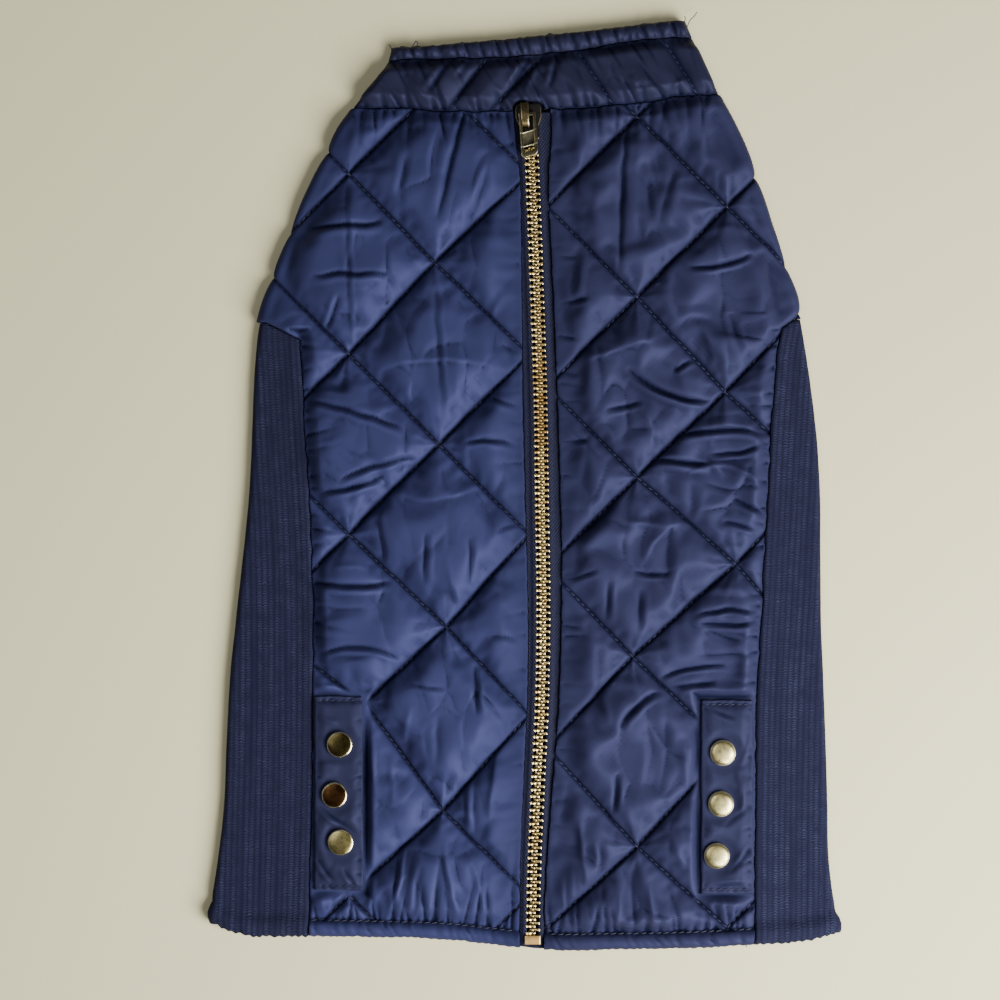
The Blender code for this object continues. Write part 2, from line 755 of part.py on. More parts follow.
def rib_hem_outline(side):
    """The hem from the under layer's middle round the fold to the quilt seam, on the opened cloth."""
    seam = SIDES[side][0]
    low_y = meeting(side, HEM_EDGE)
    edge = float(fold_x(side, low_y))
    rib_low = float(curve(HEM_EDGE, float(curve(seam, -174.0))))
    return join(
        flat_seam(HEM_EDGE, 3.0, edge, 8.0),
        fold_row(side, low_y),
        opened(side, flat_seam(HEM_EDGE, edge, float(curve(seam, rib_low)), 3.0)),
    )


def build_rib():
    """The rib-knit panel: belly and chest underneath, folded round both sides to the quilted panels."""
    left, right = rib_side_outline(-1), rib_side_outline(1)
    neck = flat_seam(COLLAR_SEAM, float(right[-1][0]), float(left[-1][0]), 7.0)
    loop = join(rib_hem_outline(1), right, neck, left[::-1], rib_hem_outline(-1)[::-1])
    loop = inset(loop, SEAM_GAP / 2)
    lines = []
    for side in (-1, 1):
        seam, fold_y = SIDES[side][:2]
        low_y, high_y = meeting(side, HEM_EDGE), fold_y
        near_hem = low_y + np.array([-9.0, -4.0, 2.2, 5.0, 9.0, 13.0])
        near_top = fold_y - np.array([9.0, 7.0, 5.3, 3.6, 2.2, 0.9])
        rows = np.concatenate([near_hem, np.linspace(-145, 45, 13), near_top])
        for number in range(1, 48):
            run = number * RIB_PITCH / 3
            x = rib_start(side, rows) - side * run
            column = np.stack([x, rows], axis=1)
            _, turn, _ = fold_turn(column[:, 0], column[:, 1])
            lines += kept_runs(np.where((turn > 0.06)[:, None], column, 1e6), loop, 0.45)
        lines += fold_lines(side, low_y, high_y, loop, (0,), 14.0)
    inner_lines = []
    for side in (-1, 1):
        ends = meeting(side, HEM_EDGE), SIDES[side][1]
        inner_lines += fold_lines(side, *ends, loop, (0, FOLD_STEPS), 14.0)
    return build_wall(
        "rib_panel",
        loop,
        lines,
        (),
        lambda u, y: place(u, y, rib_wall(u, y), -1),
        lambda u, y: place(u, y, np.zeros(len(u)), -1),
        inner_lines,
    )


def neck_outline(low, high, end_x, notch):
    """A strip round the neck, from a seam in the middle underneath round both folds and back to it."""
    sides = []
    for side in (-1, 1):
        ends = []
        for table in (low, high):
            y = meeting(side, table)
            edge = float(fold_x(side, y))
            under = flat_seam(table, edge, end_x, 6.0)
            ends.append(join(fold_row(side, y), opened(side, under)))
        sides.append(ends)
    (left_low, left_high), (right_low, right_high) = sides
    bottom = flat_seam(low, left_low[0][0], right_low[0][0], 3.0)
    if notch:
        bottom = [p for p in bottom if not notch[0] - 1.5 < p[0] < notch[1] + 1.5]
        split = sum(p[0] < notch[0] for p in bottom)
        rise = [(notch[0], float(curve(low, notch[0]))), (notch[0] + 1.0, notch[2])]
        rise += [(notch[1] - 1.0, notch[2]), (notch[1], float(curve(low, notch[1])))]
        bottom[split:split] = rise
    top = flat_seam(high, right_high[0][0], left_high[0][0], 3.0)
    loop = join(left_low[::-1], bottom, right_low, right_high[::-1], top, left_high)
    return inset(loop, SEAM_GAP / 2)


def neck_fold_lines(low, high, loop, steps):
    return [
        line
        for side in (-1, 1)
        for line in fold_lines(side, meeting(side, low), meeting(side, high), loop, steps, 6.0)
    ]


def collar_wall(u, y):
    """Thickness of the collar band: soft padding between its stitched lines."""
    _, turn, _ = fold_turn(u, y)
    points = np.stack([u, y], axis=1)
    stitched = [np.array([(x0, y0), (x1, y1)]) for x0, y0, x1, y1 in COLLAR_LINES]
    rise = np.clip(from_lines(points, stitched) / 12.0, 0, 1)
    puff = 1 - (1 - rise) ** 2.4
    low, high = y - curve(COLLAR_SEAM, u), curve(CASING_SEAM, u) - y
    edge = ease(0.1 + np.minimum(low, high) / 6.0)
    gather = 0.3 * np.sin(u * 0.83 + 1.7 * np.sin(u * 0.21)) * np.exp(-((low - 2.5) ** 2) / 9)
    top = 2.0 + (2.4 + 1.4 * puff) * edge - 0.9 * (1 - rise) ** 3 * edge + gather
    half, rest = ease(turn * 2), ease(turn * 2 - 1)
    return (top * (1 - half) + COLLAR_SIDE * half) * (1 - rest) + UNDER_WALL * rest


def casing_wall(u, y):
    """Thickness of the casing: a gathered roll along the neck edge."""
    _, turn, _ = fold_turn(u, y)
    low, high = curve(CASING_SEAM, u), curve(NECK_EDGE, u)
    across = np.clip((y - low) / np.maximum(high - low, 1.0), 0, 1)
    gather = 0.4 * np.sin(u * 1.02 + 1.9 * np.sin(u * 0.17))
    top = 1.6 + (2.6 + gather) * np.sqrt(np.clip(1 - (2 * across - 1) ** 2, 0, 1))
    half, rest = ease(turn * 2), ease(turn * 2 - 1)
    return (top * (1 - half) + COLLAR_SIDE * half) * (1 - rest) + UNDER_WALL * rest


def build_collar():
    loop = neck_outline(COLLAR_SEAM, CASING_SEAM, 4.0, (-5.4, 7.4, 147.9))
    folds = neck_fold_lines(COLLAR_SEAM, CASING_SEAM, loop, range(FOLD_STEPS + 1))
    lines = []
    for x0, y0, x1, y1 in COLLAR_LINES:
        stitched = spread([(x0, y0), (x1, y1)], 3.0)
        for run in kept_runs(stitched, loop, 1.0):
            _, turn, _ = fold_turn(run[:, 0], run[:, 1])
            lines.append(run[turn == 0])
    lines = [line for line in lines if len(line) > 1]
    for up in (2.5, 6.0):
        x = np.arange(-58.0, 70.0, 2.8)
        row = np.stack([x, curve(COLLAR_SEAM, x) + up], axis=1)
        for run in kept_runs(row, loop, 0.8):
            _, turn, _ = fold_turn(run[:, 0], run[:, 1])
            run = run[(turn == 0) & (from_lines(run, folds) > 1.2)]
            lines += [part for part in split_long(run, 4.0) if len(part) > 1]
    fixed = [*lines, *folds]
    filling = scatter(loop, fixed, 4.2, 2.0)
    _, turn, _ = fold_turn(filling[:, 0], filling[:, 1])
    return build_wall(
        "collar",
        loop,
        fixed,
        filling[turn == 0],
        lambda u, y: place(u, y, collar_wall(u, y), 1),
        lambda u, y: place(u, y, np.zeros(len(u)), 1),
        neck_fold_lines(COLLAR_SEAM, CASING_SEAM, loop, (0, FOLD_STEPS)),
    )


def split_long(run, most):
    """A row of points cut wherever two of them are further apart than a most."""
    if len(run) < 2:
        return []
    gaps = np.hypot(*(run[1:] - run[:-1]).T)
    return np.split(run, np.where(gaps > most)[0] + 1)


def build_casing():
    loop = neck_outline(CASING_SEAM, NECK_EDGE, 6.0, None)
    folds = neck_fold_lines(CASING_SEAM, NECK_EDGE, loop, range(FOLD_STEPS + 1))
    lines = []
    for share in (0.16, 0.5, 0.84):
        x = np.arange(-50.0, 66.0, 2.4)
        low, high = curve(CASING_SEAM, x), curve(NECK_EDGE, x)
        row = np.stack([x, low + (high - low) * share], axis=1)
        for run in kept_runs(row, loop, 0.3):
            _, turn, _ = fold_turn(run[:, 0], run[:, 1])
            run = run[(turn == 0) & (from_lines(run, folds) > 1.0)]
            lines += [part for part in split_long(run, 4.0) if len(part) > 1]
    return build_wall(
        "collar_casing",
        loop,
        [*lines, *folds],
        (),
        lambda u, y: place(u, y, casing_wall(u, y), 1),
        lambda u, y: place(u, y, np.zeros(len(u)), 1),
        neck_fold_lines(CASING_SEAM, NECK_EDGE, loop, (0, FOLD_STEPS)),
    )


def build_tab(side):
    """A plain welt tab that lies on its panel, pressed flat round the snaps."""
    (x0, x1), (y0, y1), snaps = TABS[side]
    loop = spread([(x0, y0), (x1, y0), (x1, y1), (x0, y1), (x0, y0)], 3.0)[:-1]
    rings = []
    for x, y in snaps:
        angles = np.linspace(0, 2 * np.pi, 13)
        rings.append(np.stack([x + 5.9 * np.cos(angles), y + 5.9 * np.sin(angles)], axis=1))
    inner_edge = spread([(x0 + 1.8, y0 + 1.8), (x1 - 1.8, y0 + 1.8), (x1 - 1.8, y1 - 1.8)], 3.0)
    outer_edge = spread([(x1 - 1.8, y1 - 1.8), (x0 + 1.8, y1 - 1.8), (x0 + 1.8, y0 + 1.8)], 3.0)
    rim = np.vstack([inner_edge, outer_edge[1:]])
    fixed = [*rings, rim]
    loose = scatter(loop, fixed, 3.6, 1.6)
    centres = np.array(snaps)
    base = UPPER_BASE + TAB_BED + SEAM_GAP

    def outer(x, y):
        edge = np.minimum(np.minimum(x - x0, x1 - x), np.minimum(y - y0, y1 - y))
        puff = TAB_PUFF * ease((edge - 1.0) / 5.0) * (0.7 + 0.3 * np.sin(0.23 * y + side) * np.cos(0.19 * x))
        away = np.hypot(x[:, None] - centres[:, 0], y[:, None] - centres[:, 1]).min(axis=1)
        puff = puff * ease((away - 5.9) / 4.5)
        wall = TAB_WALL + puff - 0.5 * (1 - ease(edge / 1.6))
        return np.stack([x, y, base + wall], axis=1)

    return build_wall(
        "welt_tab_left" if side < 0 else "welt_tab_right",
        loop,
        fixed,
        loose,
        outer,
        lambda x, y: np.stack([x, y, np.full(len(x), base)], axis=1),
    )


def build_snap(name, x, y):
    """A domed cap: its half section, from the crown down to the middle of its underside, turned round."""
    base = UPPER_BASE + TAB_BED + SEAM_GAP + TAB_WALL + SEAM_GAP
    body = bmesh.new()
    corners = [body.verts.new((r * SNAP_RADIUS * MM, 0.0, h * SNAP_HEIGHT * MM)) for r, h in SNAP_SECTION]
    for pair in zip(corners, corners[1:]):
        body.edges.new(pair)
    made = finish(name, body)
    turned = made.modifiers.new("turned", "SCREW")
    turned.steps = turned.render_steps = 20
    turned.use_merge_vertices = True
    turned.merge_threshold = 0.00005
    turned.use_smooth_shade = True
    made.location = (x * MM, y * MM, base * MM)
    return made


def zip_strip(name, inner_half, outer_half, side, ends, heights):
    """A flat strip along the zip line, on one side of it or over it."""
    y = np.linspace(*ends, 40)
    low, high = (inner_half, outer_half) if side > 0 else (-outer_half, -inner_half)
    first = np.stack([curve(ZIP_LINE, y) + low, y], axis=1)
    second = np.stack([curve(ZIP_LINE, y) + high, y], axis=1)
    loop = np.vstack([first, second[::-1]])
    return build_wall(
        name,
        loop,
        (),
        (),
        lambda u, v: np.stack([u, v, np.full(len(u), heights[1])], axis=1),
        lambda u, v: np.stack([u, v, np.full(len(u), heights[0])], axis=1),
    )


def prism(name, outline, heights, group=None, bevel=0.0):
    """A flat outline in x and y drawn up between two heights, its edges eased."""
    body = bmesh.new()
    face = body.faces.new([body.verts.new((x * MM, y * MM, heights[0] * MM)) for x, y in outline])
    drawn = bmesh.ops.extrude_face_region(body, geom=[face])
    moved = [part for part in drawn["geom"] if isinstance(part, bmesh.types.BMVert)]
    bmesh.ops.translate(body, verts=moved, vec=(0, 0, (heights[1] - heights[0]) * MM))
    bmesh.ops.recalc_face_normals(body, faces=body.faces)
    if bevel:
        bmesh.ops.bevel(
            body, geom=body.edges[:], offset=bevel * MM, segments=2, profile=0.5, affect="EDGES", material=-1
        )
    made = finish(name, body, group)
    if group:
        made.display_type = "WIRE"
    return made


def box_outline(x0, x1, y0, y1):
    return ((x0, y0), (x1, y0), (x1, y1), (x0, y1))


def combine(target, other, operation):
    """Joins or cuts with the exact solver, then drops the helper."""
    step = target.modifiers.new(operation.lower(), "BOOLEAN")
    step.operation = operation
    step.solver = "EXACT"
    step.object = other
    bpy.context.view_layer.update()
    graph = bpy.context.evaluated_depsgraph_get()
    mesh = bpy.data.meshes.new_from_object(target.evaluated_get(graph))
    target.modifiers.clear()
    target.data = mesh
    bpy.data.objects.remove(other)


def turn_about(made, x, y, angle):
    """Turns a piece's mesh about the upright line through a point."""
    around = Matrix.Translation((x * MM, y * MM, 0)) @ Matrix.Rotation(angle, 4, "Z")
    made.data.transform(around)


def build_slider():
    """Slider: lower and upper plate joined by a bead, and the bail that holds the pull tab."""
    outline = [(half, y) for y, half in SLIDER_HALVES]
    outline += [(-half, y) for y, half in SLIDER_HALVES[::-1]]
    slider = prism("zip_slider", outline, SLIDER_PLATES[1], bevel=0.3)
    lower = prism("lower", outline, SLIDER_PLATES[0], CUTTERS, bevel=0.2)
    combine(slider, lower, "UNION")
    middle = (SLIDER_PLATES[0][1] - 0.3, SLIDER_PLATES[1][0] + 0.4)
    bead = prism("bead", box_outline(-BEAD_HALF, BEAD_HALF, -1.0, 6.4), middle, CUTTERS)
    combine(slider, bead, "UNION")
    # The bail is drawn on its side, along x, then stood up.
    base = SLIDER_PLATES[1][1] - 0.4
    low_y, high_y = BAIL_Y
    arch = [(low_y, base), (high_y, base), (high_y, BAIL_TOP - 2.0), (high_y - 0.8, BAIL_TOP - 0.7)]
    arch += [(high_y - 2.4, BAIL_TOP), (low_y + 2.6, BAIL_TOP), (low_y + 0.8, BAIL_TOP - 0.9)]
    arch += [(low_y, BAIL_TOP - 2.3)]
    hole_top = BAIL_TOP - BAIL_WALL
    hole_low = SLIDER_PLATES[1][1] + 0.1
    eye = [(low_y + 1.3, hole_low), (high_y - 1.3, hole_low), (high_y - 1.3, hole_top - 0.6)]
    eye += [(high_y - 2.2, hole_top), (low_y + 2.4, hole_top), (low_y + 1.3, hole_top - 0.9)]
    stand = Matrix(((0, 0, 1, 0), (1, 0, 0, 0), (0, 1, 0, 0), (0, 0, 0, 1)))
    bail = prism("bail", arch, (-BAIL_WIDTH / 2, BAIL_WIDTH / 2), CUTTERS, bevel=0.25)
    bail.data.transform(stand)
    gap = prism("eye", eye, (-BAIL_WIDTH, BAIL_WIDTH), CUTTERS)
    gap.data.transform(stand)
    combine(bail, gap, "DIFFERENCE")
    shift_x = (PULL_AXIS[0] - SLIDER_CENTRE[0]) * MM
    shift_y = (PULL_AXIS[1] - SLIDER_CENTRE[1]) * MM
    bail.data.transform(Matrix.Translation((shift_x, shift_y - 0.1 * MM, 0)))
    combine(slider, bail, "UNION")
    turn_about(slider, *SLIDER_CENTRE, SLIDER_TURN)
    return slider


def build_pull():
    """Pull tab: a frame with a wide window round the bail, a plate, and a slot near its end."""
    half = PULL_WIDTH / 2
    low, high = -PULL_WALL / 2, PULL_WALL / 2
    top = PULL_WALL / 2
    end = top - PULL_LENGTH
    outline = [(-half, top), (-half, end + 0.9), (-half + 0.9, end), (half - 0.9, end), (half, end + 0.9)]
    outline += [(half, top)]
    pull = prism("zip_pull", outline, (low, high), bevel=0.2)
    window = prism(
        "window", box_outline(-half + PULL_BAR, half - PULL_BAR, -6.4, -0.65), (-2, 2), CUTTERS
    )
    combine(pull, window, "DIFFERENCE")
    slot = prism("slot", box_outline(-half + PULL_BAR, half - PULL_BAR, -14.2, -12.2), (-2, 2), CUTTERS)
    combine(pull, slot, "DIFFERENCE")
    inlay = box_outline(-half + PULL_BAR, half - PULL_BAR, -11.7, -6.9)
    hollow = prism("hollow", inlay, (high - 0.3, high + 1), CUTTERS)
    combine(pull, hollow, "DIFFERENCE")
    pull.data.transform(Matrix.Rotation(PULL_TURN, 4, "Z"))
    pull.location = tuple(part * MM for part in PULL_AXIS)
    return pull


def build_zip():
    tape_ends = (-177.2, 147.4)
    tape = (TAPE_Z, TAPE_Z + TAPE_WALL)
    inner = CHAIN_HALF + SEAM_GAP
    pieces = [
        zip_strip("zip_tape_left", inner, TAPE_OUTER, -1, tape_ends, tape),
        zip_strip("zip_tape_right", inner, TAPE_OUTER, 1, tape_ends, tape),
        zip_strip("zip_chain", -CHAIN_HALF, CHAIN_HALF, 1, CHAIN_Y, CHAIN_Z),
    ]
    stop_x = float(curve(ZIP_LINE, -175.0))
    stop = prism("zip_stop", box_outline(-3.05, 3.05, -1.75, 1.75), (2.9, 6.0), bevel=0.35)
    stop.location = (stop_x * MM, -174.9 * MM, 0)
    return [*pieces, stop, build_slider(), build_pull()]


def build_coat():
    satin, knit = make_material("quilted_satin"), make_material("rib_knit")
    tape, brass = make_material("zip_tape"), make_material("brass")
    bronze, gold = make_material("aged_bronze"), make_material("gold")
    dressed = [(build_quilted(side), satin) for side in (-1, 1)]
    dressed += [(build_rib(), knit), (build_collar(), satin), (build_casing(), satin)]
    left, right, chain, stop, slider, pull = build_zip()
    dressed += [(left, tape), (right, tape), (chain, brass), (stop, brass), (slider, bronze), (pull, bronze)]
    for side in (-1, 1):
        dressed.append((build_tab(side), satin))
        for number, (x, y) in enumerate(TABS[side][2], 1):
            name = f"snap_{'left' if side < 0 else 'right'}_{number}"
            dressed.append((build_snap(name, x, y), gold))
    for made, material in dressed:
        made.data.materials.clear()
        made.data.materials.append(material)


COAT, CUTTERS = start_scene()
build_coat()
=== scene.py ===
import math
from functools import partial

import bmesh
import bpy
import numpy as np
from mathutils import Matrix, Vector, kdtree, noise


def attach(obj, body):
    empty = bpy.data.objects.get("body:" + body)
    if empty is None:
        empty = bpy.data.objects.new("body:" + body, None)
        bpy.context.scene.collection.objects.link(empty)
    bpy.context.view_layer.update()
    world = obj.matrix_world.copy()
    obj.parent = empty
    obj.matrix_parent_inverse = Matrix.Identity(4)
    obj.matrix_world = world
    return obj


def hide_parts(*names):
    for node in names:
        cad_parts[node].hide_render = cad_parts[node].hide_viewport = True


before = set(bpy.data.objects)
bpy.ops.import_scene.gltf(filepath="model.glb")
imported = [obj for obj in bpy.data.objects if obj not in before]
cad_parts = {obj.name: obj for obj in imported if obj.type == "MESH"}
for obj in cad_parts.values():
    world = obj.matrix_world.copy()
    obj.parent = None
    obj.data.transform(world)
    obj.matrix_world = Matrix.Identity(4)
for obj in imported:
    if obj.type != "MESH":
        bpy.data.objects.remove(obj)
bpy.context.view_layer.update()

MM = 0.001
SEAM_GAP = 0.3
SIDE_NAMES = {-1: "left", 1: "right"}
# the column that serves each side in a table with one for both
SIDE_COLUMNS = {-1: 1, 1: 2}

# Layers, folds, quilting and seams, as the coat is cut and sewn
UNDER_WALL = 2.4
SLIT = 0.4
MID_Z = UNDER_WALL + SLIT / 2
UPPER_BASE = UNDER_WALL + SLIT
FOLD_RUN = 6.0
FOLD_OUT = 2.9
FOLD_STEPS = 6
QUILT_LINE = 1.7
QUILT_PUFF = 6.1
QUILT_RISE = 20.0
SIDE_LINE = 2.1
SIDE_PUFF = 3.7
SEAM_WALL = 2.0
SEAM_RISE = 7.0
ZIP_RISE = 15.0
ZIP_EDGE_WALL = 2.7
QUILT_STEP = 34.7
QUILT_SIDE = QUILT_STEP * math.sqrt(2)
COLLAR_SIDE = 3.0
# where the pull tab comes down on the collar when it is turned over, and how far the padding gives there
PULL_REACH = (2.4, 148.6)
PULL_HOLLOW = 0.5
THINNEST = 0.5
# Blender's noise vectors, which tip the faces of slack cloth, otherwise start from the clock
NOISE_SEED = 1
HEM_DEPTH = 6.3
HEM_ROLL = 4.0
RIB_HEM_DEPTH = 9.0
RIB_WALL = 2.0
RIB_RAISE = 0.12
RIB_PITCH = 2.2
RIBBED_WIDTH = 42.0
RIB_CUT = 0.45
RIB_CORNER_Y = -174.0
TAPE_Z = 3.8
TAPE_WALL = 0.9
# half the width of the chain
CHAIN_HALF = 2.9
CHAIN_MIDDLE_Z = 4.25
CHAIN_Y = (-172.7, 132.1)
BOX_Y = -174.9
QUILT_CELL = 0.74
# Offsets of the closer cuts on both sides of a stitched line
STITCH_CUTS = (0.25, 0.5, 0.8, 1.15, 1.6, 2.2)
SETTLE_CELLS = 32
SETTLE_SCALE = 0.01
SETTLE_EXTRA = 0.045
SETTLE_FRAMES = 20
SETTLE_MOST = 1.9
SETTLE_SMOOTHING = 1
SEAM_WAVE = 0.35
CREASE_WIDTH = 0.8
# how deep a groove must be to take full painted shade, and how many rounds of evening out find its depth
HOLLOW_DEPTH = 0.28
HOLLOW_ROUNDS = 6
SLIDER_CENTRE = (1.0, 139.6)
SLIDER_TURN = math.radians(2.6)
# middle x, half width and top y of the notch that the collar's seam leaves for the slider
SLIDER_NOTCH = (1.0, 5.9, 147.3)
PULL_AXIS = (0.3, 142.2, 7.25)
PULL_TURN = math.radians(4.2)
# the pull tab: half its thickness, its windows' half width, then from and to of its slot, plate and window
PULL_SHAPE = (0.65, 2.05, (-14.2, -12.2), (-11.7, -6.9), (-6.4, -0.65))
TAB_BED = 2.2
TAB_WALL = 1.2
TAB_PUFF = 1.3
TAB_STITCH = 1.9
SNAP_RADIUS = 5.0
SNAP_HEIGHT = 1.9
# the angle between two faces past which the edge between them is rounded
SHARP = 0.6
TAB_Z = UPPER_BASE + TAB_BED + SEAM_GAP
# how far the back of a cloth piece is left in one flat face
BACK_STEP = 12.0
# side: how much shade is painted on the satin beside the zip, and at the fold of the shoulder, where it is
# made rougher too
DULL_BY_ZIP = {-1: 0.42, 1: 0.30}
DULL_BY_FOLD = {-1: 0.4, 1: 0.0}

# y, left edge x, right edge x of the coat lying flat
SIDE_EDGES = (
    (-178.0, -122.6, 123.4), (-163.0, -122.1, 119.8), (-147.0, -119.7, 117.5), (-122.0, -116.8, 116.8),
    (-101.0, -116.0, 116.2), (-75.0, -114.7, 115.2), (-52.0, -112.3, 114.3), (-30.0, -109.9, 114.1),
    (-6.0, -107.5, 114.0), (21.0, -106.1, 112.4), (45.0, -105.1, 109.4), (61.0, -103.3, 106.8),
    (72.0, -100.6, 104.8), (85.0, -96.0, 100.4), (101.0, -89.7, 94.3), (122.0, -79.8, 87.6),
    (137.0, -72.2, 81.1), (150.0, -62.6, 74.2), (163.0, -52.9, 68.0), (172.0, -51.0, 63.8),
    (181.0, -50.4, 60.2),
)
# x, y
HEM_EDGE = (
    (-124.0, -165.6), (-117.0, -170.8), (-110.0, -172.9), (-85.0, -173.6), (-55.0, -174.2),
    (-31.0, -175.0), (-10.0, -177.3), (5.0, -178.9), (33.0, -178.9), (63.0, -178.3), (88.0, -177.0),
    (112.0, -174.6), (125.0, -170.5),
)
COLLAR_SEAM = (
    (-70.0, 145.1), (-52.0, 144.9), (-32.0, 144.0), (-5.0, 143.8), (25.0, 145.5), (48.0, 147.5),
    (59.0, 149.5), (78.0, 150.6),
)
CASING_SEAM = (
    (-58.0, 162.8), (-30.0, 164.2), (-10.0, 164.5), (13.0, 166.5), (25.0, 168.2), (49.0, 171.6),
    (70.0, 172.3),
)
NECK_EDGE = (
    (-58.0, 168.2), (-43.0, 168.7), (-30.0, 169.8), (-10.0, 171.4), (13.0, 173.8), (34.0, 176.0),
    (59.0, 178.8), (70.0, 179.0),
)
# y, x
RIB_SEAM_LEFT = (
    (-180.0, -84.0), (-83.0, -82.0), (-29.0, -82.4), (21.0, -85.1), (48.0, -86.6), (56.0, -87.2),
)
RIB_SEAM_RIGHT = (
    (-180.0, 87.8), (-116.0, 88.2), (-82.0, 88.8), (-46.0, 90.7), (-6.0, 92.8), (39.0, 95.5),
    (53.0, 96.8), (60.5, 98.3),
)
ZIP_LINE = (
    (-180.0, 2.4), (-148.0, 3.0), (-114.0, 4.5), (-83.0, 6.0), (-44.0, 6.5), (-6.0, 6.0), (33.0, 5.4),
    (71.0, 4.2), (120.0, 2.3), (150.0, 1.0),
)
# y, half the gap between the panels on the left of the zip's line and on the right
ZIP_HALVES = (
    (-178.0, 4.9, 4.4), (-160.0, 5.1, 4.4), (-140.0, 5.3, 5.0), (-102.0, 5.5, 6.2), (-64.0, 5.6, 6.9),
    (-15.0, 6.2, 7.3), (33.0, 6.6, 6.7), (60.0, 6.1, 6.5), (90.0, 5.3, 6.2), (121.0, 4.9, 6.5),
    (132.0, 5.7, 7.8), (140.0, 6.1, 8.3), (150.0, 6.1, 7.6),
)
# y, how far apart the teeth of one side are
TOOTH_PITCHES = (
    (-176.0, 2.64), (-130.0, 2.62), (-95.0, 2.50), (-33.0, 2.38), (29.0, 2.22), (90.0, 2.46),
    (132.0, 2.50),
)
# side: rib seam, y where the rib meets the side fold, leg hole centre x and y, half width, half height,
# angles in degrees on the hole where the lower and the upper seam leave it, x of the upper seam at the collar
SIDES = {
    -1: (RIB_SEAM_LEFT, 62.4, -52.0, 91.0, 19.0, 26.0, 222.0, 97.0, -42.0),
    1: (RIB_SEAM_RIGHT, 63.8, 58.0, 92.0, 19.0, 26.0, 318.0, 83.0, 50.0),
}
# side: first crossing x and y, then the crossings pulled off the even net: column, level, x shift, y shift
QUILT_NETS = {
    -1: ((-68.3, 119.7), ((1, 1, -1.7, 0.6), (0, 6, 6.1, 4.6), (1, 7, 1.5, -2.1), (1, 5, 2.8, -0.8))),
    1: ((42.7, 72.4), ((1, 1, -0.9, -1.8), (1, 3, 3.3, 1.2), (0, 4, -1.8, 0.4), (0, 6, 0.0, -3.5))),
}
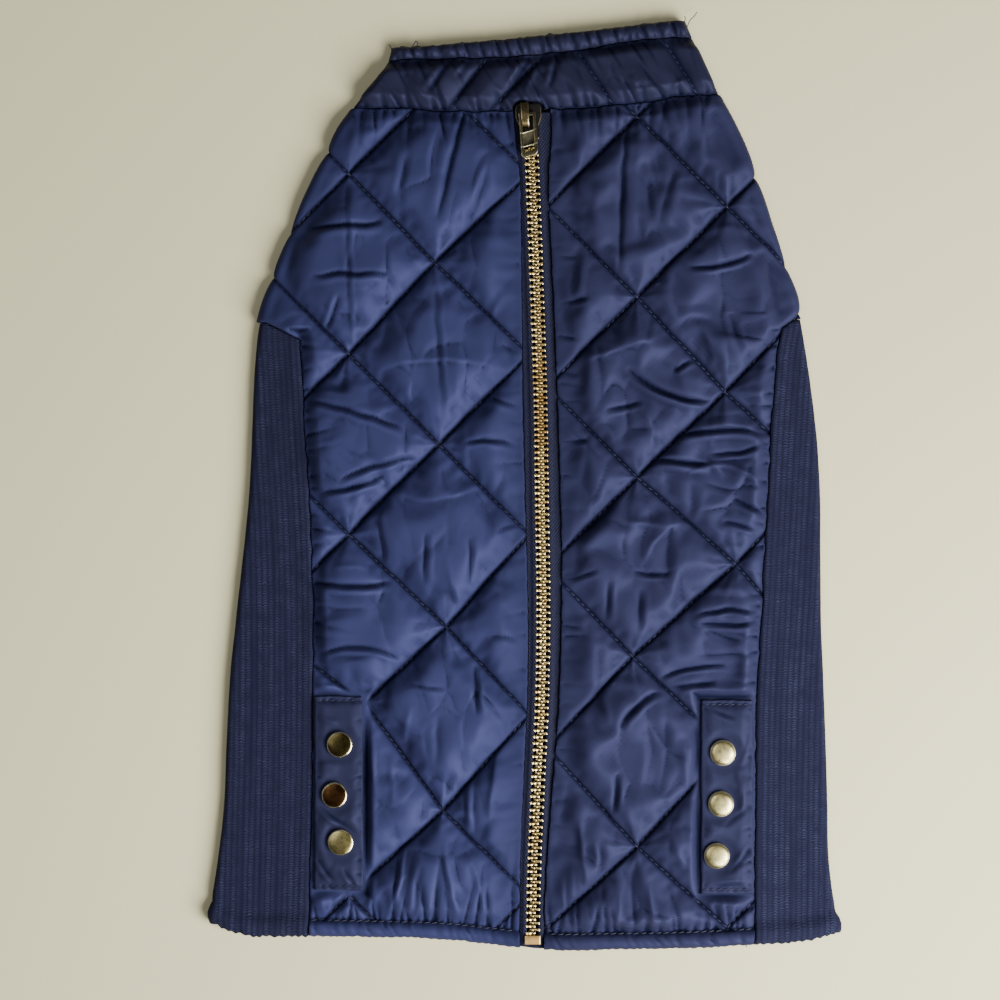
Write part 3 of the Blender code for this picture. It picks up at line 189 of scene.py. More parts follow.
# Folds in the satin, walked along from the first end to the second.
# x and y of both ends, bow to the left, width on the left, width on the right, height, below 0 for a trough
CREASES = {
    -1: (
        (-24.2, 142.8, -33.9, 102.0, 0.0, 1.2, 5.0, -1.2),
        (-44.7, 126.0, -48.5, 110.0, 0.0, 1.6, 3.0, -0.5),
        (-14.0, 128.0, -22.0, 98.0, 1.0, 1.6, 3.4, -0.5),
        (-86.5, 99.0, -55.0, 101.0, -1.2, 0.9, 3.6, -1.4),
        (-82.0, 80.2, -53.0, 80.8, 0.6, 0.8, 2.8, -1.2),
        (-71.2, 73.5, -77.5, 59.0, 1.0, 1.0, 2.6, -0.8),
        (-66.0, 70.0, -67.5, 55.0, 0.0, 1.2, 2.2, 0.5),
        (-68.9, 117.0, -67.4, 54.5, 0.0, 1.5, 1.2, -0.35),
        (-35.2, 81.0, -32.0, 24.0, 0.0, 1.8, 1.4, -0.4),
        (-58.0, 43.5, -13.0, 45.5, 3.4, 3.8, 0.9, 0.9),
        (-86.5, 32.4, -47.0, 21.0, 1.0, 1.0, 2.6, -1.2),
        (-85.0, 36.5, -66.0, 34.0, 0.0, 2.6, 1.0, 0.5),
        (-71.5, 2.0, -41.5, 10.2, 1.6, 1.0, 2.4, -1.0),
        (-80.0, -3.2, -54.0, 3.0, -0.8, 1.0, 2.4, -1.3),
        (-66.0, -4.0, -58.0, 2.0, 0.0, 2.0, 1.4, 0.5),
        (-51.0, -3.0, -15.5, 1.8, -4.6, 4.0, 1.0, 0.8),
        (-38.5, -18.0, -39.0, -38.0, 0.0, 2.6, 1.1, -0.6),
        (-21.8, -20.0, -21.0, -38.0, 0.0, 2.6, 1.1, -0.6),
        (-30.0, -22.0, -30.0, -44.0, 0.0, 2.4, 2.4, 0.4),
        (-82.5, -36.6, -51.5, -37.2, -1.7, 1.0, 2.8, -1.4),
        (-74.0, -32.0, -60.0, -32.5, 1.0, 2.0, 1.2, 0.5),
        (-80.5, -65.5, -48.5, -67.0, 4.2, 1.0, 2.0, -1.0),
        (-78.5, -72.0, -62.0, -79.6, -2.0, 1.2, 1.4, 0.6),
        (-19.4, -69.0, -19.4, -88.0, 0.0, 2.4, 1.1, -0.9),
        (-45.0, -76.0, -31.0, -78.8, 0.0, 0.8, 1.6, -0.45),
        (-44.0, -84.0, -47.5, -100.0, 0.0, 1.4, 2.4, 0.5),
        (-33.0, -88.0, -34.0, -108.0, 0.0, 1.6, 3.0, -0.4),
        (-60.3, -95.0, -57.5, -121.0, 0.0, 2.4, 1.4, 0.7),
        (-52.0, -104.0, -51.0, -124.0, 0.0, 2.0, 1.2, 0.45),
        (-11.0, -100.0, -14.0, -128.0, 0.0, 3.2, 1.2, 0.8),
        (-20.0, -112.0, -19.0, -134.0, 0.0, 1.4, 2.6, -0.5),
        (-46.2, -140.0, -53.5, -168.0, 1.0, 1.2, 1.6, 1.1),
        (-40.0, -146.0, -43.0, -167.0, 0.0, 1.4, 2.2, -0.6),
        (-31.2, -136.0, -25.5, -168.0, -0.8, 1.3, 1.9, 0.9),
        (-23.0, -138.0, -14.0, -167.0, 0.0, 1.2, 1.6, 0.6),
        (-58.5, -150.0, -61.0, -166.0, 0.0, 1.6, 1.6, 0.6),
        (-68.0, -156.0, -77.0, -167.0, 0.0, 1.2, 1.6, -0.7),
        (-14.5, 34.2, -1.8, 30.0, -0.4, 0.9, 2.0, -1.0),
        (-24.0, 16.0, -1.8, 14.2, 2.0, 0.9, 2.0, -1.0),
        (-10.0, 54.0, -2.0, 50.0, 0.0, 0.9, 1.8, -0.7),
        (-13.0, 66.0, -8.0, 44.0, 2.0, 2.0, 3.0, 0.5),
        (-12.0, -18.0, -1.6, -15.0, 0.6, 0.9, 1.8, -0.6),
        (-14.0, -58.0, -2.0, -60.0, 0.6, 0.9, 2.4, -0.6),
    ),
    1: (
        (39.1, 144.0, 36.4, 82.0, -0.6, 7.0, 1.0, -1.3),
        (57.4, 122.0, 51.4, 100.0, 0.0, 4.0, 1.6, -0.6),
        (47.0, 132.0, 45.0, 98.0, 0.0, 2.0, 4.0, 0.4),
        (21.0, 132.0, 20.0, 108.0, 0.0, 3.0, 3.0, 0.4),
        (62.4, 83.5, 86.5, 88.4, -1.8, 1.0, 2.2, -1.1),
        (70.0, 98.0, 86.0, 96.0, 2.0, 2.0, 3.4, 0.5),
        (66.0, 62.0, 72.0, 46.0, 1.0, 3.0, 1.6, 0.6),
        (78.0, 66.0, 83.0, 50.0, 0.0, 2.4, 1.6, -0.5),
        (39.5, 44.2, 71.0, 32.2, -2.6, 1.3, 3.2, -2.0),
        (23.5, 47.6, 51.5, 57.6, 0.0, 3.2, 1.1, 0.9),
        (56.5, 44.2, 65.0, 48.6, 0.0, 1.0, 1.6, -0.7),
        (30.5, 28.6, 45.0, 31.4, 0.0, 1.0, 2.0, -0.7),
        (43.0, 33.0, 48.4, 12.0, 2.2, 1.6, 2.4, 0.8),
        (57.5, 18.2, 91.0, 18.8, 2.8, 1.0, 2.8, -1.4),
        (70.0, 11.5, 90.0, 15.0, -1.0, 0.9, 1.8, -0.9),
        (48.5, 9.9, 71.5, 7.8, 0.0, 1.0, 3.2, -1.7),
        (61.5, 3.6, 91.0, -2.0, 6.5, 1.5, 1.5, 1.0),
        (64.0, 9.5, 76.0, 3.0, 2.0, 1.3, 1.5, 0.6),
        (79.5, -5.6, 92.3, -12.6, 0.4, 1.0, 2.2, -1.2),
        (75.5, -14.2, 88.5, -17.4, 0.4, 1.0, 1.8, -0.9),
        (59.8, -14.2, 43.8, -31.5, -2.6, 1.2, 3.2, 0.9),
        (34.0, -13.0, 60.0, -15.5, -1.0, 2.4, 1.2, 0.5),
        (41.0, -33.7, 55.0, -34.7, 0.0, 1.0, 1.8, -0.7),
        (31.7, -37.0, 30.9, -52.0, 0.0, 2.4, 1.1, -0.6),
        (44.0, -40.0, 43.5, -56.0, 0.0, 2.6, 1.4, -0.5),
        (64.5, -49.9, 89.3, -48.7, 1.3, 1.0, 1.4, -1.1),
        (66.0, -52.9, 90.5, -51.8, -1.3, 0.9, 2.0, -1.1),
        (13.0, -36.4, 27.5, -32.9, -0.9, 1.0, 1.6, -0.9),
        (39.0, -1.5, 13.5, -27.5, 0.0, 6.0, 0.9, -1.1),
        (29.0, 10.0, 14.0, 24.0, 0.0, 1.0, 4.0, -0.5),
        (51.5, -73.9, 76.5, -69.4, 1.3, 1.0, 1.4, -0.9),
        (54.0, -77.4, 73.0, -75.5, -0.6, 1.2, 2.2, -0.8),
        (36.0, -93.4, 51.5, -79.3, 1.7, 1.2, 2.6, -1.0),
        (28.0, -80.0, 32.0, -92.0, 1.0, 2.0, 2.0, 0.5),
        (35.0, -111.0, 34.3, -126.0, 0.0, 2.6, 1.1, -0.9),
        (46.0, -96.0, 44.0, -120.0, 0.0, 2.0, 4.0, 0.5),
        (60.5, -98.0, 62.0, -120.0, 0.0, 1.6, 2.2, 0.5),
        (20.5, -128.0, 23.5, -158.0, 0.0, 1.6, 1.4, 0.8),
        (28.5, -136.0, 29.5, -150.0, 0.0, 1.4, 1.8, -0.6),
        (54.0, -132.0, 60.0, -148.0, 0.6, 2.2, 1.4, 0.7),
        (15.5, -150.0, 17.0, -170.0, 0.0, 1.2, 1.6, -0.7),
        (36.0, -154.0, 35.0, -171.0, 0.0, 1.3, 1.5, 0.7),
        (48.0, -152.0, 49.0, -171.0, 0.0, 1.3, 1.7, 0.7),
        (72.0, -160.0, 75.0, -171.0, 0.0, 1.2, 1.6, -0.7),
        (81.0, -158.0, 79.0, -171.0, 0.0, 1.3, 1.4, 0.8),
        (11.6, 88.0, 19.0, 87.0, 0.0, 0.9, 1.6, -0.7),
        (11.8, 69.0, 24.0, 71.5, 0.0, 0.9, 1.8, -0.9),
        (12.2, 57.0, 19.0, 56.0, 0.0, 0.8, 1.6, -0.7),
        (12.4, 44.0, 20.0, 42.0, 0.0, 0.9, 1.6, -0.6),
        (12.4, 16.5, 24.0, 17.0, 0.0, 0.9, 1.8, -0.8),
        (12.6, -54.0, 21.0, -55.5, 0.0, 0.9, 1.8, -0.9),
    ),
}
# x and y of both ends of each stitched line on the collar
COLLAR_LINES = (
    (9.5, 167.5, -15.0, 143.0), (18.5, 168.5, 35.0, 144.0), (-13.5, 166.0, -31.0, 143.0),
    (52.0, 172.5, 66.0, 150.0),
)
COLLAR_CREASES = (
    (-29.0, 163.0, -38.0, 150.0, 0.0, 1.2, 3.0, -1.0),
    (-22.0, 163.5, -26.0, 156.0, 0.0, 1.2, 2.0, -0.6),
    (2.0, 165.0, -6.0, 151.0, 0.0, 1.3, 2.6, -0.9),
    (4.5, 163.0, 0.0, 150.0, 0.0, 1.4, 1.6, 0.6),
    (12.0, 164.0, 8.5, 152.0, 0.0, 1.0, 2.4, -0.8),
    (20.0, 162.0, 24.0, 150.0, 0.0, 2.0, 1.2, 0.5),
    (-46.0, 157.0, -40.0, 148.0, 0.6, 1.4, 2.0, 0.6),
    (-38.0, 155.0, -33.0, 147.0, 0.0, 1.2, 1.8, -0.5),
    (56.0, 152.0, 62.0, 156.0, 0.0, 1.2, 1.6, 0.6),
    (44.0, 150.0, 40.0, 157.0, 0.0, 2.0, 2.0, 0.5),
    (-27.0, 150.0, -19.0, 146.0, 0.0, 2.0, 1.0, 0.6),
)
# side: x of the two long edges, y of the two ends, then x and y of each snap
TABS = {
    -1: ((-81.6, -62.4), (-155.9, -80.9), ((-71.5, -99.6), (-73.5, -119.0), (-71.1, -137.1))),
    1: ((67.0, 87.4), (-157.1, -82.4), ((75.5, -102.8), (74.8, -122.4), (73.2, -142.3))),
}
# side: the colour of each snap's plating: aged, and on the left darkened as a painted reflection
CAP_PLATINGS = {-1: ("dark_olive", "brown", "olive"), 1: ("pale", "pale", "pale")}
PALE_GOLD = (0.80, 0.65, 0.35)
# the snaps' rims, painted bright as rubbed plating and painted highlight
CAP_EDGE = (0.86, 0.80, 0.54)
TAB_CREASES = {
    -1: (
        (-79.6, -122.6, -64.4, -133.8, -0.5, 1.0, 1.6, -0.9),
        (-80.0, -89.0, -72.0, -92.0, 0.0, 1.0, 2.0, 0.5),
        (-80.0, -144.0, -74.0, -152.0, 0.0, 1.0, 1.6, -0.6),
        (-70.0, -147.0, -65.5, -154.0, 0.0, 1.0, 1.6, -0.6),
        (-79.5, -108.0, -68.0, -106.0, 0.0, 1.4, 2.2, 0.4),
    ),
    1: (
        (85.6, -124.0, 76.0, -131.0, 0.0, 1.0, 1.8, -0.7),
        (86.4, -139.0, 78.0, -149.0, 0.5, 1.0, 1.8, -0.7),
        (84.0, -153.0, 72.0, -154.0, 0.0, 1.0, 1.4, -0.5),
        (70.0, -85.5, 80.0, -90.0, 0.0, 1.0, 1.4, -0.5),
        (84.0, -112.0, 83.0, -126.0, 0.0, 2.4, 1.4, 0.4),
    ),
}
# seam, seed, from and to along it, spacing, reach and depth of the tucks, how soon off the seam they start
PANEL_TUCKS = (
    ("rib", 41, (-172, 56), 7.0, 6.5, 0.9, 0.8),
    ("rib", 43, (-172, 56), 2.6, 1.7, 0.35, 0.5),
    ("zip", 51, (-172, 140), 9.0, 5.5, 0.5, 1.5),
    ("collar", 61, (-70, 78), 3.8, 9.0, 1.2, 0.9),
    ("collar", 63, (-70, 78), 2.2, 2.2, 0.45, 0.5),
    ("hem", 71, (-88, 92), 4.0, 12.0, 1.2, 0.8),
    ("hem", 73, (-88, 92), 2.2, 3.0, 0.6, 0.5),
)
COLLAR_TUCKS = (
    ("low leaning", 93, (-70, 90), 4.4, 8.0, 1.3, 0.9),
    ("low", 95, (-70, 78), 2.0, 1.8, 0.5, 0.5),
    ("high leaning", 94, (-60, 90), 4.0, 6.5, 1.1, 0.9),
    ("high", 96, (-60, 70), 1.9, 1.6, 0.5, 0.5),
)
# radius of a snap's cap, height of a full dome and of a flatter one, as shares of the cap's own
CAP_SECTION = (
    (0.0, 1.0, 1.0), (0.2, 0.995, 0.995), (0.4, 0.97, 0.985), (0.6, 0.92, 0.955), (0.76, 0.83, 0.91),
    (0.87, 0.7, 0.855), (0.93, 0.56, 0.80), (0.965, 0.5, 0.735), (0.99, 0.44, 0.6), (1.0, 0.33, 0.42),
    (0.99, 0.2, 0.2), (0.95, 0.08, 0.08), (0.86, 0.0, 0.0), (0.0, 0.0, 0.0),
)
# middle and size of the blocks of one tooth: its bar, its head, its clamp and its foot
TOOTH_BLOCKS = (
    ((1.65, 0.0, 0.0), (2.3, 1.0, 1.7)),
    ((2.35, 0.0, 0.0), (0.9, 1.12, 2.1)),
    ((-0.2, 0.0, -0.05), (2.0, 1.05, 1.15)),
    ((0.9, 0.0, -0.85), (2.0, 1.9, 0.5)),
)
# y and half width of the slider's plates, from its low end to its shoulders
SLIDER_PLATE = (
    (-7.0, 3.6), (-6.4, 3.9), (-1.6, 3.9), (0.2, 4.6), (1.8, 5.1), (5.0, 5.1), (6.3, 4.5), (7.0, 3.3),
)
# x, y and height along each loose end of thread
LOOSE_THREADS = (
    ((61.8, 175.6, 4.5), (63.0, 178.5, 5.2), (64.6, 180.2, 4.6), (66.0, 182.4, 2.4)),
    ((60.6, 177.6, 4.8), (61.2, 178.8, 5.4), (61.1, 180.4, 4.2)),
    ((-43.6, 168.6, 5.0), (-42.4, 170.6, 5.4), (-41.6, 169.6, 5.0), (-42.4, 168.4, 5.0)),
    ((-51.6, 167.4, 3.6), (-52.2, 168.9, 3.4), (-52.8, 169.8, 2.2)),
    ((84.6, -176.6, 1.4), (85.1, -177.8, 1.0), (85.4, -178.6, 0.5)),
)
# name: colour and specular level of the satin, one cloth in lit and shaded copies: the right panel, collar
# and tabs are painted darker than the left panel
SATINS = {
    "left": ((0.0278, 0.0312, 0.0915), 0.24),
    "right": ((0.0228, 0.0244, 0.0628), 0.19),
    "neck": ((0.0145, 0.0152, 0.0355), 0.20),
    "tab": ((0.0185, 0.0198, 0.0480), 0.18),
}
SATIN_TINT = (0.42, 0.46, 0.95, 1)
# name: material, effect, colour and shade; bump strength and depth, roughness, specular level
CLOTHS = {
    "knit": (
        "navy_rib_knit", "knit", (0.0060, 0.0067, 0.0262), (0.0036, 0.0040, 0.0180),
        (0.45, 0.2), 0.9, 0.2,
    ),
    "tape": (
        "navy_zip_tape", "twill", (0.019, 0.021, 0.052), (0.0035, 0.0040, 0.0150),
        (0.35, 0.1), 0.8, 0.16,
    ),
    "quilt_thread": (
        "quilting_thread", "thread", (0.026, 0.029, 0.070), (0.005, 0.005, 0.015),
        (0.4, 0.1), 0.6, 0.3,
    ),
    "hem_thread": (
        "hem_sewing_thread", "thread", (0.034, 0.034, 0.058), (0.008, 0.008, 0.020),
        (0.4, 0.1), 0.6, 0.3,
    ),
}
# colour of light fibres and painted highlight on the tops of the knit's loops
KNIT_FIBRE = (0.023, 0.026, 0.062)
# name: material, bright and tarnished plating, edges painted bright as rubbed plating and painted highlight;
# how tarnished, roughness, bump strength and depth
METALS = {
    "tooth": (
        "pale_gold_teeth", (0.84, 0.69, 0.34), (0.31, 0.19, 0.06), PALE_GOLD,
        0.7, 0.22, (0.10, 0.05),
    ),
    "box": (
        "warm_brass", (0.54, 0.35, 0.13), (0.40, 0.23, 0.07), (0.80, 0.62, 0.34),
        0.7, 0.36, (0.15, 0.08),
    ),
    "bronze": (
        "aged_bronze_plating", (0.11, 0.095, 0.052), (0.055, 0.045, 0.024), (0.36, 0.33, 0.21),
        0.8, 0.3, (0.15, 0.08),
    ),
    # the slider's body is coloured darker than its bail
    "dark_bronze": (
        "dark_slider_plating", (0.030, 0.028, 0.026), (0.014, 0.013, 0.016), (0.13, 0.11, 0.06),
        0.8, 0.4, (0.15, 0.08),
    ),
    "bail": (
        "rubbed_bronze_bail", (0.27, 0.21, 0.10), (0.10, 0.07, 0.03), (0.42, 0.36, 0.20),
        0.9, 0.2, (0.15, 0.08),
    ),
    "plate": (
        "dull_olive_inlay", (0.052, 0.047, 0.031), (0.034, 0.030, 0.020), PALE_GOLD,
        0.6, 0.62, (0.15, 0.08),
    ),
    "pale_cap": (
        "pale_cap_plating", (0.60, 0.54, 0.27), (0.30, 0.22, 0.08), CAP_EDGE,
        0.8, 0.26, (0.10, 0.10),
    ),
    "olive_cap": (
        "olive_cap_plating", (0.36, 0.31, 0.13), (0.15, 0.11, 0.035), CAP_EDGE,
        0.8, 0.22, (0.10, 0.10),
    ),
    "dark_olive_cap": (
        "dark_olive_cap_plating", (0.085, 0.066, 0.024), (0.035, 0.024, 0.009), CAP_EDGE,
        0.8, 0.18, (0.10, 0.10),
    ),
    "brown_cap": (
        "brown_cap_plating", (0.080, 0.036, 0.012), (0.020, 0.010, 0.007), CAP_EDGE,
        0.8, 0.18, (0.10, 0.10),
    ),
}
# Teeth are painted with shade at the foot, in full colour on top, and browned about one place along the zip
TOOTH_AGEING = {"Dull foot": 4.35 * MM, "Bright top": 5.1 * MM, "Browned place": 27.0 * MM}
# name, place, size, watts, colour
LAMPS = (
    ("window", (0.52, -0.41, 0.55), (0.62, 0.62), 23.6, (1.0, 0.99, 0.965)),
    ("ceiling", (-0.50, 0.14, 1.15), (0.70, 0.70), 3.3, (0.95, 0.97, 1.0)),
)
# The lens and its sensor, the width of table that the frame takes in, and the spot that it looks down on
LENS = 85.0
SENSOR = 36.0
FRAME_WIDTH = 385.0
FRAME_MIDDLE = (-10.0, -5.8, 4.0)


# ---------- shape of the cloth ----------

def curve(table, at, column=1):
    """A smooth curve through a table's rows, read at one value or many."""
    rows = np.array(table, float)
    keys, values = rows[:, 0], rows[:, column]
    slopes = np.gradient(values, keys)
    at = np.clip(np.asarray(at, float), keys[0], keys[-1])
    low = np.clip(np.searchsorted(keys, at) - 1, 0, len(keys) - 2)
    run = keys[low + 1] - keys[low]
    t = (at - keys[low]) / run
    ends = values[low] * (1 + 2 * t) * (1 - t) ** 2 + values[low + 1] * t * t * (3 - 2 * t)
    return ends + run * (slopes[low] * t * (1 - t) ** 2 - slopes[low + 1] * t * t * (1 - t))


def ease(t):
    t = np.clip(t, 0.0, 1.0)
    return t * t * (3 - 2 * t)


def near_line(off, width):
    """1 on a line, and less and less off it on both sides."""
    return np.exp(-((off / width) ** 2))


def drift(x, y, seed):
    """Soft uneven noise from -1 to 1 that changes over about one unit."""
    count = np.size(x)
    pairs = zip(np.broadcast_to(x, count).tolist(), np.broadcast_to(y, count).tolist())
    found = [1.3 * noise.noise((a, b, seed * 3.17 + 0.4)) for a, b in pairs]
    return np.array(found).reshape(np.shape(x))


def fold_x(side, y):
    """The middle line of a side fold."""
    return curve(SIDE_EDGES, y, SIDE_COLUMNS[side]) - side * FOLD_OUT


def across_fold(side, x, y):
    """Where a point of the far layer lies on the cloth once the fold is opened out flat."""
    return 2 * fold_x(side, y) + side * FOLD_RUN - x


def fold_turn(u, y):
    """Which fold cloth at u has passed, how far round it is from 0 to 1, and its x if the fold were sharp."""
    left, right = fold_x(-1, y), fold_x(1, y)
    side = np.where(u < left, -1.0, np.where(u > right, 1.0, 0.0))
    edge = np.where(u < left, left, right)
    depth = np.where(side == 0, 0.0, np.abs(u - edge))
    turn = np.minimum(depth / FOLD_RUN, 1.0)
    x = np.where(side == 0, u, edge - side * np.maximum(depth - FOLD_RUN, 0.0))
    return side, turn, x


def place(u, y, wall, home):
    """Points of the tube of cloth, a wall's thickness out. Home is 1 on the upper layer, -1 on the under."""
    side, turn, x = fold_turn(u, y)
    reach = SLIT / 2 + wall
    z = MID_Z + home * np.cos(np.pi * turn) * reach
    return np.stack([x + side * np.sin(np.pi * turn) * reach, y, np.maximum(z, 0.0)], axis=-1)


def facets(x, y, seed):
    """Faces of slack cloth, each tipped its own way, that meet in sharp valleys: about -0.6 to 0.8."""
    noise.seed_set(NOISE_SEED)
    x = x + 0.35 * drift(x / 0.9, y / 0.9, seed + 0.21)
    y = y + 0.35 * drift(x / 0.9, y / 0.9, seed + 0.43)
    valleys = ease(0.5 + 0.9 * drift(x / 1.6, y / 1.6, seed + 0.77))
    found = np.zeros(len(x))
    for number, (a, b, valley) in enumerate(zip(x.tolist(), y.tolist(), valleys.tolist())):
        gaps, spots = noise.voronoi((a, b, seed * 2.31))
        share = min((gaps[1] - gaps[0]) / 0.3, 1.0)
        tip = noise.noise_vector(spots[0] * 5.7)
        tilt = tip.x * (a - spots[0].x) + tip.y * (b - spots[0].y)
        found[number] = 2.7 * tilt * share + 0.45 * valley * (math.sqrt(share) - 0.6)
    return found


def creases(x, y, rows):
    """Height that the listed folds add at each point, and how much shade is painted into their troughs, from
    0 to 1.

    A trough is narrow, and the cloth it takes stands up as a ridge on its wide side."""
    total, dark = np.zeros(len(x)), np.zeros(len(x))
    points = np.stack([x, y], axis=1)
    for x0, y0, x1, y1, bow, left, right, height in rows:
        run = np.array([x1 - x0, y1 - y0])
        length = float(np.hypot(*run))
        along = (points - (x0, y0)) @ run / length**2
        off = (points - (x0, y0)) @ np.array([-run[1], run[0]]) / length
        off = off - bow * 4 * along * (1 - along) - 0.5 * drift(along * length / 7.0, x0, y0)
        fade = np.sin(np.pi * np.clip(along, 0, 1)) ** 0.7
        if height > 0:
            away = np.abs(off / np.where(off > 0, left, right)) / CREASE_WIDTH
            total += 1.4 * height * fade * np.exp(-(np.sqrt(away**2 + 0.04) ** 1.35))
            continue
        wide, way = (left, 1.0) if left > right else (right, -1.0)
        narrow = 0.75 * min(left, right) + 0.15
        trough = np.exp(-(np.sqrt((off / narrow) ** 2 + 0.04) ** 1.5))
        ridge = np.exp(-((off - way * (narrow + 0.45 * wide)) ** 2) / (0.5 * wide) ** 2)
        total += height * fade * (1.35 * trough - 0.75 * ridge)
        # painted shade along each trough
        dark = np.maximum(dark, min(1.0, -height) * fade * near_line(off, 0.8 * narrow))
    return total, dark


def puckers(along, off, seed, span, spacing, reach, depth):
    """Small uneven tucks at right angles to a seam: along it, and off it, in millimetres."""
    chance = np.random.default_rng(seed)
    total = np.zeros(len(along))
    at = span[0]
    while at < span[1]:
        at += spacing * chance.uniform(0.45, 1.55)
        wide, long, deep = chance.uniform((0.5, 0.4, 0.3), (1.2, 1.5, 1.2))
        beside = along - at - chance.uniform(-0.25, 0.25) * off
        total -= depth * deep * np.exp(-((beside / wide) ** 2) - (off / (reach * long)) ** 2)
    return total


def tucked(top, rows, seams, seed=0):
    """A wall with a table's tucks added. Seams gives, for each, where points lie along it and off it."""
    for seam, number, span, spacing, reach, depth, start in rows:
        along, off = seams[seam]
        top = top + puckers(along, off, number + seed, span, spacing, reach, depth) * ease(off / start)
    return top


def round_fold(top, side_wall, turn):
    """A wall from the upper layer over a side fold's own to the plain one of the under layer."""
    half, rest = ease(turn * 2), ease(turn * 2 - 1)
    return (top * (1 - half) + side_wall * half) * (1 - rest) + UNDER_WALL * rest


def rolled_edge(wall, inward, share):
    """A wall that thins to a share of itself over the last bit of a piece, where inward falls from 1 to 0."""
    inward = np.clip(inward, 0, 1)
    return np.maximum(wall * (share + (1 - share) * np.sqrt(1 - (1 - inward) ** 2)), THINNEST)


def spread(points, step):
    """The same line with a point about every step, its own corners kept."""
    points = np.array(points, float)
    out = [points[0]]
    for start, end in zip(points, points[1:]):
        count = max(1, round(float(np.hypot(*(end - start))) / step))
        out.extend(start + (end - start) * k / count for k in range(1, count + 1))
    return np.array(out)


def inset(loop, amount):
    """A closed outline drawn in by an amount all round."""
    ahead = np.roll(loop, -1, axis=0) - loop
    ahead = ahead / np.hypot(ahead[:, 0], ahead[:, 1])[:, None]
    both = ahead + np.roll(ahead, 1, axis=0)
    both = both / np.hypot(both[:, 0], both[:, 1])[:, None]
    turned = np.stack([-both[:, 1], both[:, 0]], axis=1)
    area = np.sum(loop[:, 0] * np.roll(loop[:, 1], -1) - loop[:, 1] * np.roll(loop[:, 0], -1))
    return loop + turned * amount * np.sign(area)


def join(*lines):
    """One closed outline from lines that follow each other, shared ends kept once."""
    points = []
    for line in lines:
        for point in line:
            if not points or np.hypot(*(np.array(point) - points[-1])) > 0.3:
                points.append(np.array(point, float))
    if np.hypot(*(points[0] - points[-1])) < 0.3:
        points.pop()
    return np.array(points)


def from_outline(x, y, loop):
    """Distance from each point to a closed outline."""
    edge = spread(np.vstack([loop, loop[:1]]), 0.25)
    tree = kdtree.KDTree(len(edge))
    for number, (edge_x, edge_y) in enumerate(edge):
        tree.insert((edge_x, edge_y, 0.0), number)
    tree.balance()
    return np.array([tree.find((float(a), float(b), 0.0))[2] for a, b in zip(x, y)])


def inside(x, y, loop):
    """Which points lie inside a closed outline."""
    found = np.zeros(len(x), bool)
    for (x0, y0), (x1, y1) in zip(loop, np.roll(loop, -1, axis=0)):
        crosses = (y0 > y) != (y1 > y)
        rise = y1 - y0 if y1 != y0 else 1e-9
        found ^= crosses & (x < x0 + (y - y0) * (x1 - x0) / rise)
    return found


def meeting(side, table):
    """The y where a seam given as y over x crosses a side fold."""
    y = curve(table, 0.0)
    for _ in range(20):
        y = curve(table, fold_x(side, y))
    return float(y)


def fold_row(side, y, steps=FOLD_STEPS * 2):
    """Points across a side fold at one y, from the layer that the cloth starts on to the other."""
    edge = float(fold_x(side, y))
    return [(edge + side * FOLD_RUN * k / steps, y) for k in range(steps + 1)]


def seam_wave(at):
    """How far a seam wanders off its line where its stitches pull it."""
    return SEAM_WAVE * (drift(at / 5.0, 0.5, 201) + 0.6 * drift(at / 1.9, 0.5, 202))


def flat_seam(table, start, end, step=0.8):
    """Points of a seam given as y over x."""
    x = np.linspace(start, end, max(2, round(abs(end - start) / step) + 1))
    return list(zip(x.tolist(), (curve(table, x) + seam_wave(x)).tolist()))


def tall_seam(table, start, end, step=0.8):
    """Points of a seam given as x over y."""
    y = np.linspace(start, end, max(2, round(abs(end - start) / step) + 1))
    return list(zip((curve(table, y) + seam_wave(y)).tolist(), y.tolist()))


def hem_line(start, end, wave):
    """The hem's edge with the small scallops that its stitches pull into it."""
    points = flat_seam(HEM_EDGE, start, end, 0.8)
    return [(x, y + wave * math.sin(x * 2.1 + math.sin(x * 0.43))) for x, y in points]


def seam_foot(seam):
    """The y where a rib seam meets the hem."""
    return float(curve(HEM_EDGE, float(curve(seam, RIB_CORNER_Y))))


def hole_arc(side, inner):
    """A leg hole's edge from its lower seam to its upper one. The outer way is past the fold side."""
    _, _, x, y, half, tall, low, high, _ = SIDES[side]
    if side < 0 and inner:
        high += 360.0
    if side > 0 and not inner:
        low -= 360.0
    angles = np.radians(np.linspace(low, high, 40))
    return [(x + half * math.cos(a), y + tall * math.sin(a)) for a in angles]


def under_seams(side):
    """The seam from the fold to the leg hole, and the one from the hole to the collar, on the under layer."""
    _, fold_y, x, y, half, tall, low, high, neck_x = SIDES[side]
    low, high = math.radians(low), math.radians(high)
    near = (x + half * math.cos(low), y + tall * math.sin(low))
    far = (x + half * math.cos(high), y + tall * math.sin(high))
    lower = spread([(float(fold_x(side, fold_y)), fold_y), near], 2.0)
    upper = spread([far, (neck_x, float(curve(COLLAR_SEAM, neck_x)))], 2.0)
    return lower, upper


def opened(side, points):
    """Points of the far layer, laid out on the cloth's opened plane."""
    points = np.array(points, float)
    return np.stack([across_fold(side, points[:, 0], points[:, 1]), points[:, 1]], axis=1)


def zip_half(side, y):
    """Half the gap between the panels, where the tapes show: wider on the right and round the slider."""
    return curve(ZIP_HALVES, y, SIDE_COLUMNS[side])


def zip_edge_x(side, y):
    """The folded edge of a panel beside the zip, a little uneven as its stitches pull it."""
    pulled = np.abs(0.4 * drift(y / 6.0, side * 3.0, 31) + 0.2 * drift(y / 1.8, side * 3.0, 32))
    return curve(ZIP_LINE, y) + side * (zip_half(side, y) - 0.2 + pulled)


# ---------- cutting and laying ----------

